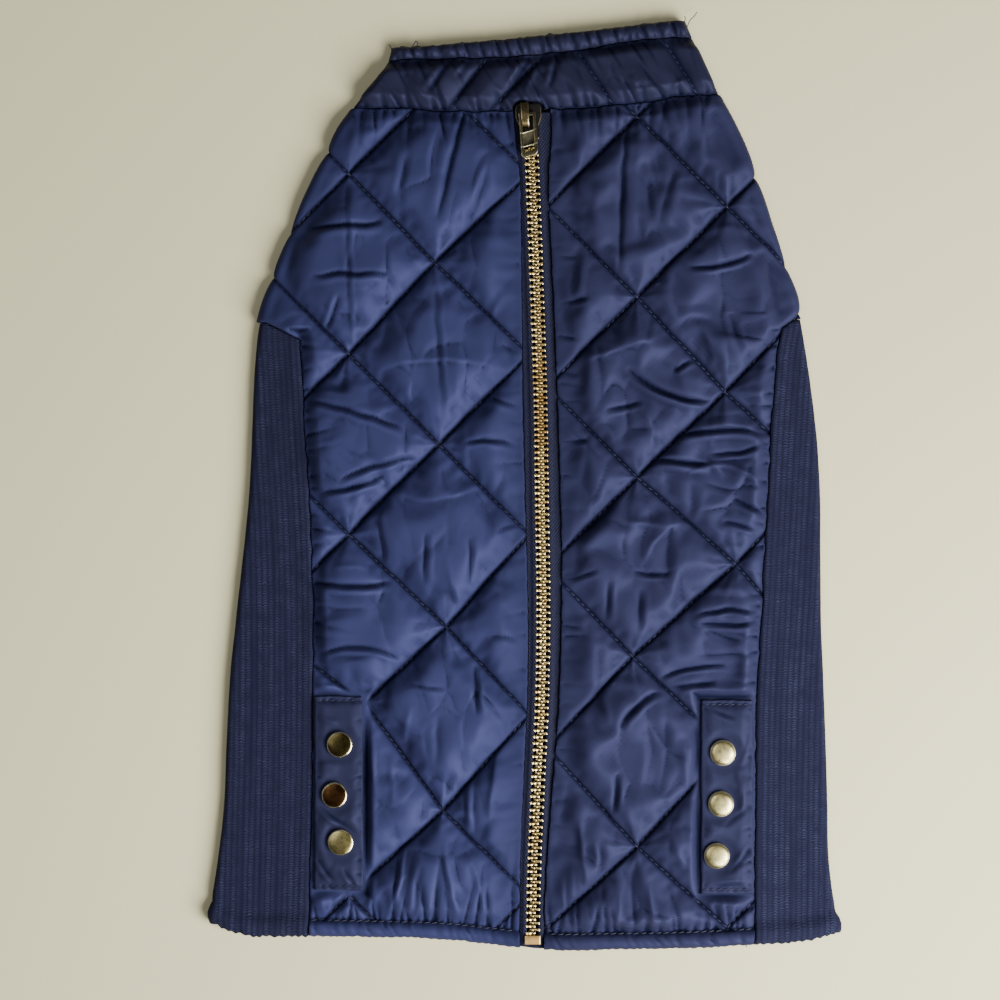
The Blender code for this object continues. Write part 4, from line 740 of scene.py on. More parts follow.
def score(body, faces, cuts_x, cuts_y):
    """Splits flat faces along straight cuts both ways."""
    for axis, cuts in ((0, cuts_x), (1, cuts_y)):
        facing = (1, 0, 0) if axis == 0 else (0, 1, 0)
        ahead, done = faces, []
        for cut in cuts:
            crossed, beyond = [], []
            for face in ahead:
                reach = [corner.co[axis] for corner in face.verts]
                if max(reach) <= cut:
                    done.append(face)
                    continue
                (crossed if min(reach) < cut else beyond).append(face)
            if crossed:
                edges = {edge for face in crossed for edge in face.edges}
                corners = {corner for face in crossed for corner in face.verts}
                spot = (cut, 0, 0) if axis == 0 else (0, cut, 0)
                made = bmesh.ops.bisect_plane(
                    body, geom=[*crossed, *edges, *corners], dist=1e-5, plane_co=spot, plane_no=facing
                )
                parts = {part for part in made["geom"] if isinstance(part, bmesh.types.BMFace)}
                for part in parts:
                    (beyond if part.calc_center_median()[axis] > cut else done).append(part)
            ahead = beyond
        faces = done + ahead
    return faces


def cut_sheet(outline, cuts_x, cuts_y):
    """An open flat sheet with this outline, scored by straight cuts both ways."""
    body = bmesh.new()
    whole = body.faces.new([body.verts.new((float(x), float(y), 0.0)) for x, y in outline])
    score(body, [whole], cuts_x, cuts_y)
    return body


def drawn_up(body, faces, height):
    """Draws flat faces up into a solid."""
    drawn = bmesh.ops.extrude_face_region(body, geom=faces)
    tops = [part for part in drawn["geom"] if isinstance(part, bmesh.types.BMVert)]
    bmesh.ops.translate(body, verts=tops, vec=(0, 0, height))


def round_off(body, edges, by, segments=2):
    bmesh.ops.bevel(
        body, geom=edges, offset=by, segments=segments, profile=0.5, affect="EDGES", material=-1
    )


def even_cuts(outline, step):
    """Straight cuts both ways, about a step apart, over an outline."""
    return [steps(outline[:, axis].min(), outline[:, axis].max(), step) for axis in (0, 1)]


def cut_flat(outline, cuts_x, cuts_y, back_step=BACK_STEP):
    """A flat piece with this outline, scored by straight cuts both ways, its back only now and then."""
    body = cut_sheet(outline, cuts_x, cuts_y)
    drawn_up(body, body.faces[:], 1)
    back = [face for face in body.faces if max(corner.co.z for corner in face.verts) < 0.5]
    bmesh.ops.delete(body, geom=back, context="FACES")
    rim = [edge for edge in body.edges if edge.is_boundary]
    plain = bmesh.ops.holes_fill(body, edges=rim, sides=0)["faces"]
    score(body, plain, *even_cuts(outline, back_step))
    bmesh.ops.recalc_face_normals(body, faces=body.faces)
    return body


def shown(name, data):
    """An object in the scene, from its mesh, lamp or camera."""
    made = bpy.data.objects.new(name, data)
    bpy.context.scene.collection.objects.link(made)
    return made


def finished(name, body, material):
    mesh = bpy.data.meshes.new(name)
    body.to_mesh(mesh)
    body.free()
    mesh.polygons.foreach_set("use_smooth", np.full(len(mesh.polygons), True))
    mesh.materials.append(material)
    return shown(name, mesh)


def read(rows, kind, width=1, number=float):
    """One value or more from every row of a mesh's list, such as its vertices' places."""
    found = np.empty(len(rows) * width, number)
    rows.foreach_get(kind, found)
    return found if width == 1 else found.reshape(-1, width)


def points_of(mesh):
    return read(mesh.vertices, "co", 3)


def set_points(mesh, points):
    mesh.vertices.foreach_set("co", np.ascontiguousarray(points, np.float32).ravel())
    mesh.update()


def face_out(mesh):
    """Turns a closed piece's faces outwards, where laying it has turned it inside out."""
    body = bmesh.new()
    body.from_mesh(mesh)
    if body.calc_volume(signed=True) < 0:
        bmesh.ops.reverse_faces(body, faces=body.faces[:])
        body.to_mesh(mesh)
        mesh.update()
    body.free()


def set_cloth(layer, places):
    layer.data.foreach_set("uv", (places * MM).astype(np.float32).ravel())


def mark_cloth(mesh, u, y):
    """The UV map that the weave follows, in metres of cloth."""
    corners = read(mesh.loops, "vertex_index", number=int)
    layer = mesh.uv_layers.new(name="cloth")
    set_cloth(layer, np.stack([u, y], axis=1)[corners])


def mark_hollows(mesh, known=0.0):
    """Marks how deep each point lies in a groove or crease, from 0 to 1, as painted shade: the cloth is
    painted darker there.
    """
    points = points_of(mesh) / MM
    ends = read(mesh.edges, "vertices", 2, int)
    ends = np.concatenate([ends, ends[:, ::-1]])
    count = np.bincount(ends[:, 0], minlength=len(points))[:, None]
    even = points.copy()
    for _ in range(HOLLOW_ROUNDS):
        total = [np.bincount(ends[:, 0], even[ends[:, 1], axis], len(points)) for axis in range(3)]
        even = (even + np.stack(total, axis=1) / count) / 2
    deep = np.sum((even - points) * read(mesh.vertices, "normal", 3), axis=1)
    layer = mesh.attributes.new("hollow", "FLOAT", "POINT")
    marks = np.maximum(np.clip(deep / HOLLOW_DEPTH, 0, 1), known)
    layer.data.foreach_set("value", marks.astype(np.float32))


def lay_cloth(name, body, material, laid, outer, home, dark=None, settled=None):
    """Lays a cut piece on the coat. Laid gives cloth x and y, outer the wall, dark the shade painted into it,
    settled the face's shift.
    """
    piece = finished(name, body, material)
    mesh = piece.data
    flat = points_of(mesh)
    front = flat[:, 2] > 0.5
    u, y = laid(flat[:, 0], flat[:, 1])
    wall = np.zeros(len(u))
    wall[front] = outer(u[front], y[front])
    points = place(u, y, wall, home)
    if settled:
        points[front] += settled(flat[front, 0], flat[front, 1])
    set_points(mesh, points * MM)
    face_out(mesh)
    mark_cloth(mesh, u, y)
    mark_hollows(mesh, dark(u, y) * front if dark else 0.0)
    return piece


def steps(low, high, step):
    count = max(1, round((high - low) / step))
    return np.linspace(low, high, count + 1)[1:-1]


# ---------- quilted panels ----------

def net_shift(side, a, b):
    """How far the quilting is pulled off its even net, at net places a and b."""
    middle = 20
    shift = np.zeros((2, 2 * middle + 1, 2 * middle + 1))
    for column, level, dx, dy in QUILT_NETS[side][1]:
        shift[:, (column + level) // 2 + middle, (level - column) // 2 + middle] = dx, dy
    i, j = np.floor(a).astype(int) + middle, np.floor(b).astype(int) + middle
    s, t = a - np.floor(a), b - np.floor(b)
    low = shift[:, i, j] * (1 - s) + shift[:, i + 1, j] * s
    high = shift[:, i, j + 1] * (1 - s) + shift[:, i + 1, j + 1] * s
    return low * (1 - t) + high * t


def from_net(side, a, b):
    (first_x, first_y), _ = QUILT_NETS[side]
    dx, dy = net_shift(side, a, b)
    return first_x + (a - b) * QUILT_STEP + dx, first_y - (a + b) * QUILT_STEP + dy


def to_net(side, x, y):
    """Net places of cloth points: whole numbers of a or b lie on a stitched line."""
    (first_x, first_y), _ = QUILT_NETS[side]
    dx, dy = np.zeros_like(x), np.zeros_like(y)
    for _ in range(12):
        column, level = (x - dx - first_x) / QUILT_STEP, (first_y - y + dy) / QUILT_STEP
        a, b = (column + level) / 2, (level - column) / 2
        dx, dy = net_shift(side, a, b)
    return a, b


def quilted_outline(side):
    seam, fold_y = SIDES[side][:2]
    zip_top = float(curve(COLLAR_SEAM, zip_edge_x(side, 143.0)))
    zip_low = float(curve(HEM_EDGE, zip_edge_x(side, -177.0)))
    zip_edge = [(float(zip_edge_x(side, y)), y) for y in np.linspace(zip_low, zip_top, 200)]
    neck_y = meeting(side, COLLAR_SEAM)
    neck_fold = float(fold_x(side, neck_y))
    lower, upper = under_seams(side)
    rib_top = seam[-1][0]
    rib_corner = (float(curve(seam, rib_top)), rib_top)
    rib_low = seam_foot(seam)
    loop = join(
        zip_edge,
        flat_seam(COLLAR_SEAM, float(zip_edge_x(side, 143.0)), neck_fold),
        fold_row(side, neck_y),
        opened(side, flat_seam(COLLAR_SEAM, neck_fold, upper[-1][0])),
        opened(side, upper[::-1]),
        opened(side, hole_arc(side, False)[::-1]),
        opened(side, lower[::-1]),
        fold_row(side, fold_y)[::-1],
        spread([(float(fold_x(side, fold_y)), fold_y), rib_corner], 1.6),
        tall_seam(seam, rib_top, rib_low),
        hem_line(float(curve(seam, rib_low)), float(zip_edge_x(side, -177.0)), 0.22),
    )
    return inset(loop, SEAM_GAP / 2)


def tab_bed(side, x, y):
    """1 where a welt tab lies on a panel, 0 clear of it."""
    (x0, x1), (y0, y1), _ = TABS[side]
    out = np.maximum(np.maximum(x0 - x, x - x1), np.maximum(y0 - y, y - y1))
    return 1 - ease((out - 0.7) / 3.4)


def corner_folds(a, b, seed):
    """Soft folds that run out into the diamonds from every crossing of the stitched net."""
    da, db = (a - np.round(a)) * QUILT_SIDE, (b - np.round(b)) * QUILT_SIDE
    radius, angle = np.hypot(da, db), np.arctan2(db, da)
    rays = drift(2.3 * angle + 5.1 * np.round(a), 1.7 * angle + 3.3 * np.round(b), seed)
    rays = np.sqrt(rays**2 + 0.01) * np.sign(rays)
    return rays * radius / 6.0 * np.exp(1 - radius / 6.0)


def quilted_wall(side, loop, u, y):
    """Thickness of a quilted panel: padding held down by the stitched net, with its folds and tucks."""
    a, b = to_net(side, u, y)
    rises, tucks, offs = [], 0.0, []
    for line, other, seed in ((a, b, 5), (b, a, 15)):
        number = np.round(line)
        off = np.abs(line - number) * QUILT_SIDE
        tuck = drift(other * QUILT_SIDE / 2.8 + 7.0 * number, off / 9.0 + number * 3.7, seed + side)
        tucks = tucks + 0.34 * tuck * near_line(off, 4.0) * np.clip(off / 1.2, 0, 1)
        rises.append(1 - (1 - np.clip(off / QUILT_RISE, 0, 1)) ** 3.4)
        offs.append(off)
    near = np.minimum(*offs)
    puff = 0.62 * (rises[0] * rises[1]) ** 0.75 + 0.38 * np.minimum(*rises)
    _, turn, _ = fold_turn(u, y)
    tucks = tucks + 0.45 * corner_folds(a, b, 25 + side) * np.clip(near / 2.5, 0, 1)
    across = ease((32.0 - np.abs(curve(SIDES[side][0], np.minimum(y, 60.0)) - u)) / 20.0) * (y < 66)
    slack = (1 - across) * facets(u / 14.0, y / 23.0, 3 + side) + 0.4 * drift(u / 17.0, y / 14.0, 21)
    slack += across * facets(u / 26.0, y / 11.0, 33 + side)
    top = QUILT_LINE + (QUILT_PUFF - QUILT_LINE) * puff + 1.2 * puff**0.6 * slack + tucks
    folds = creases(u, y, CREASES[side])[0]
    top = top + folds * ease(0.25 + near / 3.0)
    slim = SIDE_LINE + (SIDE_PUFF - SIDE_LINE) * puff
    from_fold = np.abs(u - fold_x(side, y))
    top = np.where(y > 50, slim * 1.1 + (top - slim * 1.1) * ease(from_fold / 13.0), top)
    seam = SIDES[side][0]
    from_rib = np.where(y < 60, np.abs(curve(seam, y) - u), 99.0)
    from_collar = np.abs(curve(COLLAR_SEAM, u) - y)
    from_zip = np.abs(u - curve(ZIP_LINE, y)) - zip_half(side, y)
    from_hem = y - curve(HEM_EDGE, u)
    stitch = from_hem - HEM_DEPTH
    top = SEAM_WALL + (top - SEAM_WALL) * ease(0.1 + np.minimum(from_rib, from_collar) / SEAM_RISE)
    top = ZIP_EDGE_WALL + (top - ZIP_EDGE_WALL) * ease(0.06 + from_zip / ZIP_RISE)
    top = SEAM_WALL + (top - SEAM_WALL) * ease(0.05 + stitch / SEAM_RISE)
    seams = {"rib": (y, from_rib), "zip": (y, from_zip), "collar": (u, from_collar), "hem": (u, stitch)}
    top = tucked(top, PANEL_TUCKS, seams, side)
    roll = 1.5 + (HEM_ROLL - 1.5) * np.sqrt(np.clip(1 - (2 * from_hem / HEM_DEPTH - 1) ** 2, 0, 1))
    roll = roll + puckers(u + 0.5 * stitch, np.abs(stitch), 81 + side, (-88, 92), 3.0, 5.0, 0.6)
    roll = roll + puckers(u, np.abs(stitch), 83 + side, (-88, 92), 1.8, 1.6, 0.5)
    top = np.where(from_hem < HEM_DEPTH - 0.2, roll, top)
    top = top + (TAB_BED - top) * tab_bed(side, u, y)
    pressed = 0.75 * near_line(near, 0.6) + 0.3 * near_line(near, 1.6)
    pressed = pressed * (1 - ease(turn * 2 - 1)) * (1 - tab_bed(side, u, y)) * (from_hem > HEM_DEPTH)
    roll_width, share = np.where(from_zip < 3.0, [[0.8], [0.88]], [[0.45], [0.85]])
    return rolled_edge(round_fold(top, slim, turn) - pressed, from_outline(u, y, loop) / roll_width, share)


def quilted_dark(side, loop, u, y):
    """How much shade is painted into a panel, from 0 to 1: along its stitched lines, creases and seams,
    beside the zip and at the shoulder's fold.
    """
    a, b = to_net(side, u, y)
    near = np.minimum(np.abs(a - np.round(a)), np.abs(b - np.round(b))) * QUILT_SIDE
    stitch = y - curve(HEM_EDGE, u) - HEM_DEPTH
    # painted shade in the grooves of the stitched lines and the hem, and in the seams' gaps
    sewn = near_line(near, 0.85) * (1 - tab_bed(side, u, y)) * (stitch > 0)
    hem = near_line(stitch, 0.8)
    from_zip = np.abs(u - curve(ZIP_LINE, y)) - zip_half(side, y)
    depth = np.where(np.abs(curve(COLLAR_SEAM, u) - y) < 2.0, 0.8, 0.35) * ease(from_zip / 2.0)
    seam = depth * near_line(from_outline(u, y, loop), 0.8)
    by_zip = DULL_BY_ZIP[side] * near_line(from_zip, 12.0) * (y < 150)
    by_fold = DULL_BY_FOLD[side] * near_line(u - fold_x(side, y), 13.0) * ease((y - 40) / 30.0)
    return np.maximum.reduce([sewn, hem, seam, by_zip, by_fold, creases(u, y, CREASES[side])[1]])


def net_cuts(a, b, cell, close=()):
    """Cuts along the stitched net: one about every cell, in millimetres, and closer ones beside each line."""
    apart = steps(0.0, 1.0, cell / QUILT_SIDE)
    if close:
        near = np.array(close) / QUILT_SIDE
        apart = apart[(apart > near[-1]) & (apart < 1 - near[-1])]
        apart = np.concatenate([near, apart, 1 - near[::-1]])
    shares = np.concatenate([[0.0], apart])
    cuts = []
    for part in (a, b):
        whole = np.arange(math.floor(part.min()), math.ceil(part.max()))
        every = (whole[:, None] + shares).ravel()
        cuts.append(every[(every > part.min() + 1e-4) & (every < part.max() - 1e-4)])
    return cuts


def settle(side, loop, a, b):
    """Lets the satin buckle: there is more of it than of its padding, and every stitch and seam holds it.

    Gives the shift of the face, in millimetres, at any places of the net."""
    body = cut_sheet(np.stack([a, b], axis=1), *net_cuts(a, b, QUILT_SIDE / SETTLE_CELLS))
    sheet = finished("settling", body, MATERIALS["satin_left"])
    flat = points_of(sheet.data)
    u, y = from_net(side, flat[:, 0], flat[:, 1])
    start = place(u, y, quilted_wall(side, loop, u, y), 1) * SETTLE_SCALE
    set_points(sheet.data, start)
    off = np.abs(flat[:, :2] - np.round(flat[:, :2])).min(axis=1) * QUILT_SIDE
    _, turn, _ = fold_turn(u, y)
    held = (off < 0.9) | (from_outline(u, y, loop) < 1.3) | (turn > 0.3) | (tab_bed(side, u, y) > 0.3)
    held |= y - curve(HEM_EDGE, u) < HEM_DEPTH + 1.0
    group_held = sheet.vertex_groups.new(name="held")
    group_held.add(np.flatnonzero(held).tolist(), 1.0, "REPLACE")
    cloth = sheet.modifiers.new("satin", "CLOTH")
    given = cloth.settings
    given.quality = 6
    given.mass = 0.2
    given.tension_stiffness = given.compression_stiffness = 25.0
    given.shear_stiffness = 12.0
    given.bending_stiffness = 0.7
    given.air_damping = 3.0
    given.vertex_group_mass = group_held.name
    given.shrink_min = given.shrink_max = -SETTLE_EXTRA
    given.use_pressure = True
    given.uniform_pressure_force = 0.4
    given.effector_weights.gravity = 0.0
    cloth.point_cache.frame_start = 1
    cloth.point_cache.frame_end = SETTLE_FRAMES
    scene = bpy.context.scene
    for number in range(1, SETTLE_FRAMES + 1):
        scene.frame_set(number)
    moved = sheet.evaluated_get(bpy.context.evaluated_depsgraph_get())
    shift = (points_of(moved.to_mesh()) - start) / SETTLE_SCALE
    scene.frame_set(1)
    bpy.data.objects.remove(sheet)
    far = np.sqrt(np.sum(shift**2, axis=1))
    shift *= (np.minimum(far, SETTLE_MOST) / np.maximum(far, 1e-6))[:, None]
    shift[held] = 0.0
    places = np.round(flat[:, :2] * SETTLE_CELLS)
    on_net = np.abs(flat[:, :2] * SETTLE_CELLS - places).max(axis=1) < 1e-3
    first = places.min(axis=0) - 1
    table = np.zeros((*(places.max(axis=0) - first + 3).astype(int), 3))
    rows = (places[on_net] - first).astype(int)
    table[rows[:, 0], rows[:, 1]] = shift[on_net]
    for _ in range(SETTLE_SMOOTHING):
        for axis in (0, 1):
            table = table / 2 + (np.roll(table, 1, axis) + np.roll(table, -1, axis)) / 4

    def shifted(p, q):
        at = np.stack([p, q], axis=1) * SETTLE_CELLS - first
        low = np.clip(np.floor(at).astype(int), 0, np.array(table.shape[:2]) - 2)
        part = np.clip(at - low, 0, 1)
        i, j, s, r = low[:, 0], low[:, 1], part[:, :1], part[:, 1:]
        near = table[i, j] * (1 - s) + table[i + 1, j] * s
        far_side = table[i, j + 1] * (1 - s) + table[i + 1, j + 1] * s
        return near * (1 - r) + far_side * r

    return shifted


def make_quilted(side):
    """A quilted panel with the shoulder that wraps round to the leg hole underneath."""
    name = SIDE_NAMES[side]
    loop = quilted_outline(side)
    a, b = to_net(side, loop[:, 0], loop[:, 1])
    settled = settle(side, loop, a, b)
    body = cut_flat(np.stack([a, b], axis=1), *net_cuts(a, b, QUILT_CELL, STITCH_CUTS), 0.25)
    piece = lay_cloth(
        f"quilted_{name}",
        body,
        MATERIALS[f"satin_{name}"],
        lambda p, q: from_net(side, p, q),
        lambda p, q: quilted_wall(side, loop, p, q),
        1,
        lambda p, q: quilted_dark(side, loop, p, q),
        settled,
    )
    return piece, loop


# ---------- the rib-knit panel ----------

def rib_start(side, y):
    """Where the rib panel's edge beside the quilting lies on the opened cloth."""
    return across_fold(side, curve(SIDES[side][0], y), y)


def rib_lean(u, y):
    """How far the ribs lean with the seams: fully at the sides, less and less to the middle of the belly."""
    share = ease((u + 112.0) / 224.0)
    left = rib_start(-1, y) - rib_start(-1, 0.0)
    right = rib_start(1, y) - rib_start(1, 0.0)
    return left * (1 - share) + right * share


def rib_unlean(straight, y):
    u = straight.copy()
    for _ in range(24):
        u = (u + straight + rib_lean(u, y)) / 2
    return u


def rib_wall(loop, u, y):
    """Thickness of the rib panel: raised ribs on the upper side, flat below."""
    run = np.abs(u - np.where(u < 0, rib_start(-1, y), rib_start(1, y)))
    ridge = np.abs(np.sin(np.pi * run / RIB_PITCH)) ** 0.7
    _, turn, x = fold_turn(u, y)
    from_hem = y - curve(HEM_EDGE, x)
    roll = 1.5 * np.sin(np.pi * np.clip(from_hem / RIB_HEM_DEPTH, 0, 1))
    roll = roll - 0.5 * np.exp(-((from_hem - RIB_HEM_DEPTH) ** 2) / 5)
    sag = 0.18 * drift(u / 9.0, y / 30.0, 77)
    upper = RIB_WALL + RIB_RAISE * ridge + roll + sag
    upper = upper - 0.15 * near_line(run, 0.7) + 0.3 * near_line(run - 2.4, 1.9)
    wall = UNDER_WALL + (upper - UNDER_WALL) * ease(1.25 * turn)
    return np.where(turn > 0, rolled_edge(wall, from_outline(u, y, loop) / 0.5, 0.85), wall)


def rib_side_outline(side):
    """The rib panel's edge from the hem at the quilt seam to the collar, on the opened cloth."""
    seam, fold_y = SIDES[side][:2]
    rib_top = seam[-1][0]
    rib_low = seam_foot(seam)
    corner = (float(curve(seam, rib_top)), rib_top)
    lower, upper = under_seams(side)
    return join(
        opened(side, tall_seam(seam, rib_low, rib_top)),
        opened(side, spread([corner, (float(fold_x(side, fold_y)), fold_y)], 1.6)),
        fold_row(side, fold_y)[::-1],
        lower,
        hole_arc(side, True),
        upper,
    )


def rib_hem_outline(side):
    """The hem from the under layer's middle round the fold to the quilt seam, on the opened cloth."""
    seam = SIDES[side][0]
    low_y = meeting(side, HEM_EDGE)
    edge = float(fold_x(side, low_y))
    rib_low = seam_foot(seam)
    return join(
        flat_seam(HEM_EDGE, 3.0, edge, 4.0),
        fold_row(side, low_y),
        opened(side, hem_line(edge, float(curve(seam, rib_low)), 0.3)),
    )


def make_rib():
    """The rib-knit panel: belly and chest underneath, folded round both sides to the quilted panels."""
    left, right = rib_side_outline(-1), rib_side_outline(1)
    neck = flat_seam(COLLAR_SEAM, float(right[-1][0]), float(left[-1][0]), 3.0)
    loop = join(rib_hem_outline(1), right, neck, left[::-1], rib_hem_outline(-1)[::-1])
    loop = inset(loop, SEAM_GAP / 2)
    straight = np.stack([loop[:, 0] - rib_lean(loop[:, 0], loop[:, 1]), loop[:, 1]], axis=1)
    left_start, right_start = float(rib_start(-1, 0.0)), float(rib_start(1, 0.0))
    fine = np.arange(RIB_CUT, RIBBED_WIDTH, RIB_CUT)
    belly = steps(left_start + RIBBED_WIDTH, right_start - RIBBED_WIDTH, 4.5)
    cuts_y = steps(loop[:, 1].min(), loop[:, 1].max(), 2.1)
    body = cut_flat(straight, [*(left_start + fine), *belly, *(right_start - fine)[::-1]], cuts_y)
    piece = lay_cloth(
        "rib_sides_and_belly",
        body,
        MATERIALS["knit"],
        lambda p, q: (rib_unlean(p, q), q),
        lambda p, q: rib_wall(loop, p, q),
        -1,
    )
    # The knit's columns are counted from the seams, along the ribs
    layer = piece.data.uv_layers["cloth"]
    u, y = (read(layer.data, "uv", 2, np.float32) / MM).T
    run = u - rib_lean(u, y)
    set_cloth(layer, np.stack([run - np.where(run < 0, left_start, right_start), y], axis=1))
    return piece


# ---------- collar ----------

def neck_outline(low, high, end_x, notch):
    """A strip round the neck, from a seam in the middle underneath round both folds and back to it."""
    sides = []
    for side in (-1, 1):
        ends = []
        for table in (low, high):
            y = meeting(side, table)
            edge = float(fold_x(side, y))
            ends.append(join(fold_row(side, y), opened(side, flat_seam(table, edge, end_x, 3.0))))
        sides.append(ends)
    (left_low, left_high), (right_low, right_high) = sides
    bottom = flat_seam(low, left_low[0][0], right_low[0][0], 1.4)
    if notch:
        middle, half, top_y = notch
        bottom = [p for p in bottom if abs(p[0] - middle) > half + 0.6]
        split = sum(p[0] < middle for p in bottom)
        rise = []
        for angle in np.linspace(math.pi, 0, 17):
            x = middle + half * np.sign(math.cos(angle)) * abs(math.cos(angle)) ** 0.6
            seam_y = float(curve(low, x))
            rise.append((x, seam_y + (top_y - seam_y) * math.sin(angle) ** 0.6))
        bottom[split:split] = rise
    top = flat_seam(high, right_high[0][0], left_high[0][0], 1.4)
    if not notch:
        top = [(x, y + 0.25 * math.sin(x * 1.3 + 2 * math.sin(x * 0.21))) for x, y in top]
    loop = join(left_low[::-1], bottom, right_low, right_high[::-1], top, left_high)
    return inset(loop, SEAM_GAP / 2)


def line_distance(x, y, rows):
    """Distance from each point to the nearest of some straight lines."""
    best = np.full(len(x), 1e9)
    points = np.stack([x, y], axis=1)
    for x0, y0, x1, y1 in rows:
        start, run = np.array([x0, y0]), np.array([x1 - x0, y1 - y0])
        share = np.clip((points - start) @ run / (run @ run), 0, 1)
        away = points - start - share[:, None] * run
        best = np.minimum(best, np.hypot(away[:, 0], away[:, 1]))
    return best


def collar_wall(loop, u, y):
    """Thickness of the collar band: soft padding between its stitched lines."""
    _, turn, _ = fold_turn(u, y)
    off = line_distance(u, y, COLLAR_LINES)
    rise = np.clip(off / 12.0, 0, 1)
    puff = 1 - (1 - rise) ** 2.4
    low, high = y - curve(COLLAR_SEAM, u), curve(CASING_SEAM, u) - y
    edge = ease(0.1 + np.minimum(low, high) / 6.0)
    slack = 0.5 * drift(u / 8.0 + y / 16.0, y / 8.0, 91) + 0.6 * facets(u / 9.0 + y / 18.0, y / 14.0, 92)
    top = 2.0 + (2.4 + 1.4 * puff) * edge - 0.9 * (1 - rise) ** 3 * edge + slack * edge
    top = top + creases(u, y, COLLAR_CREASES)[0] * edge
    top = top - (0.7 * near_line(off, 0.6) + 0.3 * near_line(off, 1.5)) * edge
    leaning = u + 0.5 * low
    seams = {"low": (u, low), "high": (u, high)}
    seams |= {"low leaning": (leaning, low), "high leaning": (leaning, high)}
    top = tucked(top, COLLAR_TUCKS, seams)
    top = top - PULL_HOLLOW * near_line(u - PULL_REACH[0], 2.5) * near_line(y - PULL_REACH[1], 1.6)
    return rolled_edge(round_fold(top, COLLAR_SIDE, turn), from_outline(u, y, loop) / 0.5, 0.8)


def collar_dark(loop, u, y):
    """How much shade is painted into the collar's stitched lines, creases and seams, from 0 to 1."""
    sewn = near_line(line_distance(u, y, COLLAR_LINES), 0.8)
    clear = ease((np.abs(u - SLIDER_CENTRE[0]) - 6.0) / 3.0)
    seam = 0.8 * clear * near_line(from_outline(u, y, loop), 0.8)
    return np.maximum.reduce([sewn, seam, creases(u, y, COLLAR_CREASES)[1]])


def casing_wall(u, y):
    """Thickness of the casing: a gathered roll along the neck edge."""
    _, turn, _ = fold_turn(u, y)
    low, high = curve(CASING_SEAM, u), curve(NECK_EDGE, u)
    across = np.clip((y - low) / np.maximum(high - low, 1.0), 0, 1)
    gather = 0.35 * drift(u / 2.6, y / 9.0, 97) + 0.4 * drift(u / 6.0, y / 20.0, 98)
    top = 1.6 + (2.6 + gather) * np.sqrt(np.clip(1 - (2 * across - 1) ** 2, 0, 1))
    top = top + puckers(u, y - low, 99, (-60, 70), 2.4, 2.4, 0.7) * ease((y - low) / 0.5)
    top = top + puckers(u + 0.3 * (y - low), 0.0 * u, 100, (-60, 70), 4.2, 1.0, 1.1)
    return round_fold(top, COLLAR_SIDE, turn)


def make_collar():
    loop = neck_outline(COLLAR_SEAM, CASING_SEAM, 4.0, SLIDER_NOTCH)
    piece = lay_cloth(
        "collar_band",
        cut_flat(loop, *even_cuts(loop, 0.6)),
        MATERIALS["satin_neck"],
        lambda p, q: (p, q),
        lambda p, q: collar_wall(loop, p, q),
        1,
        lambda p, q: collar_dark(loop, p, q),
    )
    return piece, loop


def make_casing():
    loop = neck_outline(CASING_SEAM, NECK_EDGE, 6.0, None)
    body = cut_flat(loop, *even_cuts(loop, 0.5))
    return lay_cloth("neck_casing", body, MATERIALS["satin_neck"], lambda p, q: (p, q), casing_wall, 1)


# ---------- welt tabs ----------

def tab_height(side, x, y):
    (x0, x1), (y0, y1), snaps = TABS[side]
    edge = np.minimum(np.minimum(x - x0, x1 - x), np.minimum(y - y0, y1 - y))
    puff = TAB_PUFF * ease((edge - 0.6) / 4.4) * (0.7 + 0.3 * np.sin(0.23 * y + side) * np.cos(0.19 * x))
    centres = np.array(snaps)
    away = np.hypot(x[:, None] - centres[:, 0], y[:, None] - centres[:, 1]).min(axis=1)
    near = ease((away - SNAP_RADIUS - 0.4) / 4.0)
    slack = 0.4 * facets(x / 9.0, y / 13.0, 111 + side) + 0.35 * drift(x / 9.0, y / 11.0, 113)
    slack = slack + creases(x, y, TAB_CREASES[side])[0]
    slack = slack + puckers(y, edge, 115 + side, (y0, y1), 5.0, 3.0, 0.5)
    ends = np.minimum(y - y0, y1 - y)
    tucks = puckers(x, ends, 121 + side, (x0, x1), 2.6, 3.2, 0.5) * ease(ends / 1.2)
    wall = TAB_WALL + (puff + slack * ease(edge / 2.0)) * near + tucks * near
    return rolled_edge(wall - 0.35 * near_line(ends - TAB_STITCH, 0.6), edge, 0.5)


def lay_flat(name, outline, step, material, base, height, shift=None, dark=None):
    """Cloth that lies level: cut to an outline, its back at a base and its face a height above that; dark
    gives the shade painted into it.
    """
    piece = finished(name, cut_flat(outline, *even_cuts(outline, step)), material)
    flat = points_of(piece.data)
    front = flat[:, 2] > 0.5
    x, y, z = flat[:, 0].copy(), flat[:, 1], np.full(len(flat), float(base))
    z[front] += height(x[front], y[front])
    mark_cloth(piece.data, x, y)
    if shift:
        x = x + shift(y)
    set_points(piece.data, np.stack([x, y, z], axis=1) * MM)
    mark_hollows(piece.data, dark(x, y) * front if dark else 0.0)
    return piece


def make_tab(side):
    """A plain welt tab that lies on its panel, pressed flat round the snaps."""
    (x0, x1), (y0, y1), _ = TABS[side]
    outline = spread([(x0, y0), (x1, y0), (x1, y1), (x0, y1), (x0, y0)], 0.8)[:-1]
    wave = 0.45 * drift(outline[:, 0] / 9.0, outline[:, 1] / 9.0, 131 + side)
    wave = wave + 0.2 * drift(outline[:, 0] / 2.2, outline[:, 1] / 2.2, 133 + side)
    outline = inset(outline, 0.3) + wave[:, None]
    return lay_flat(
        f"welt_{SIDE_NAMES[side]}",
        outline,
        0.6,
        MATERIALS["satin_tab"],
        TAB_Z,
        lambda x, y: tab_height(side, x, y),
        # painted shade in the tab's creases
        dark=lambda x, y: creases(x, y, TAB_CREASES[side])[1],
    )


# ---------- zip and snaps ----------

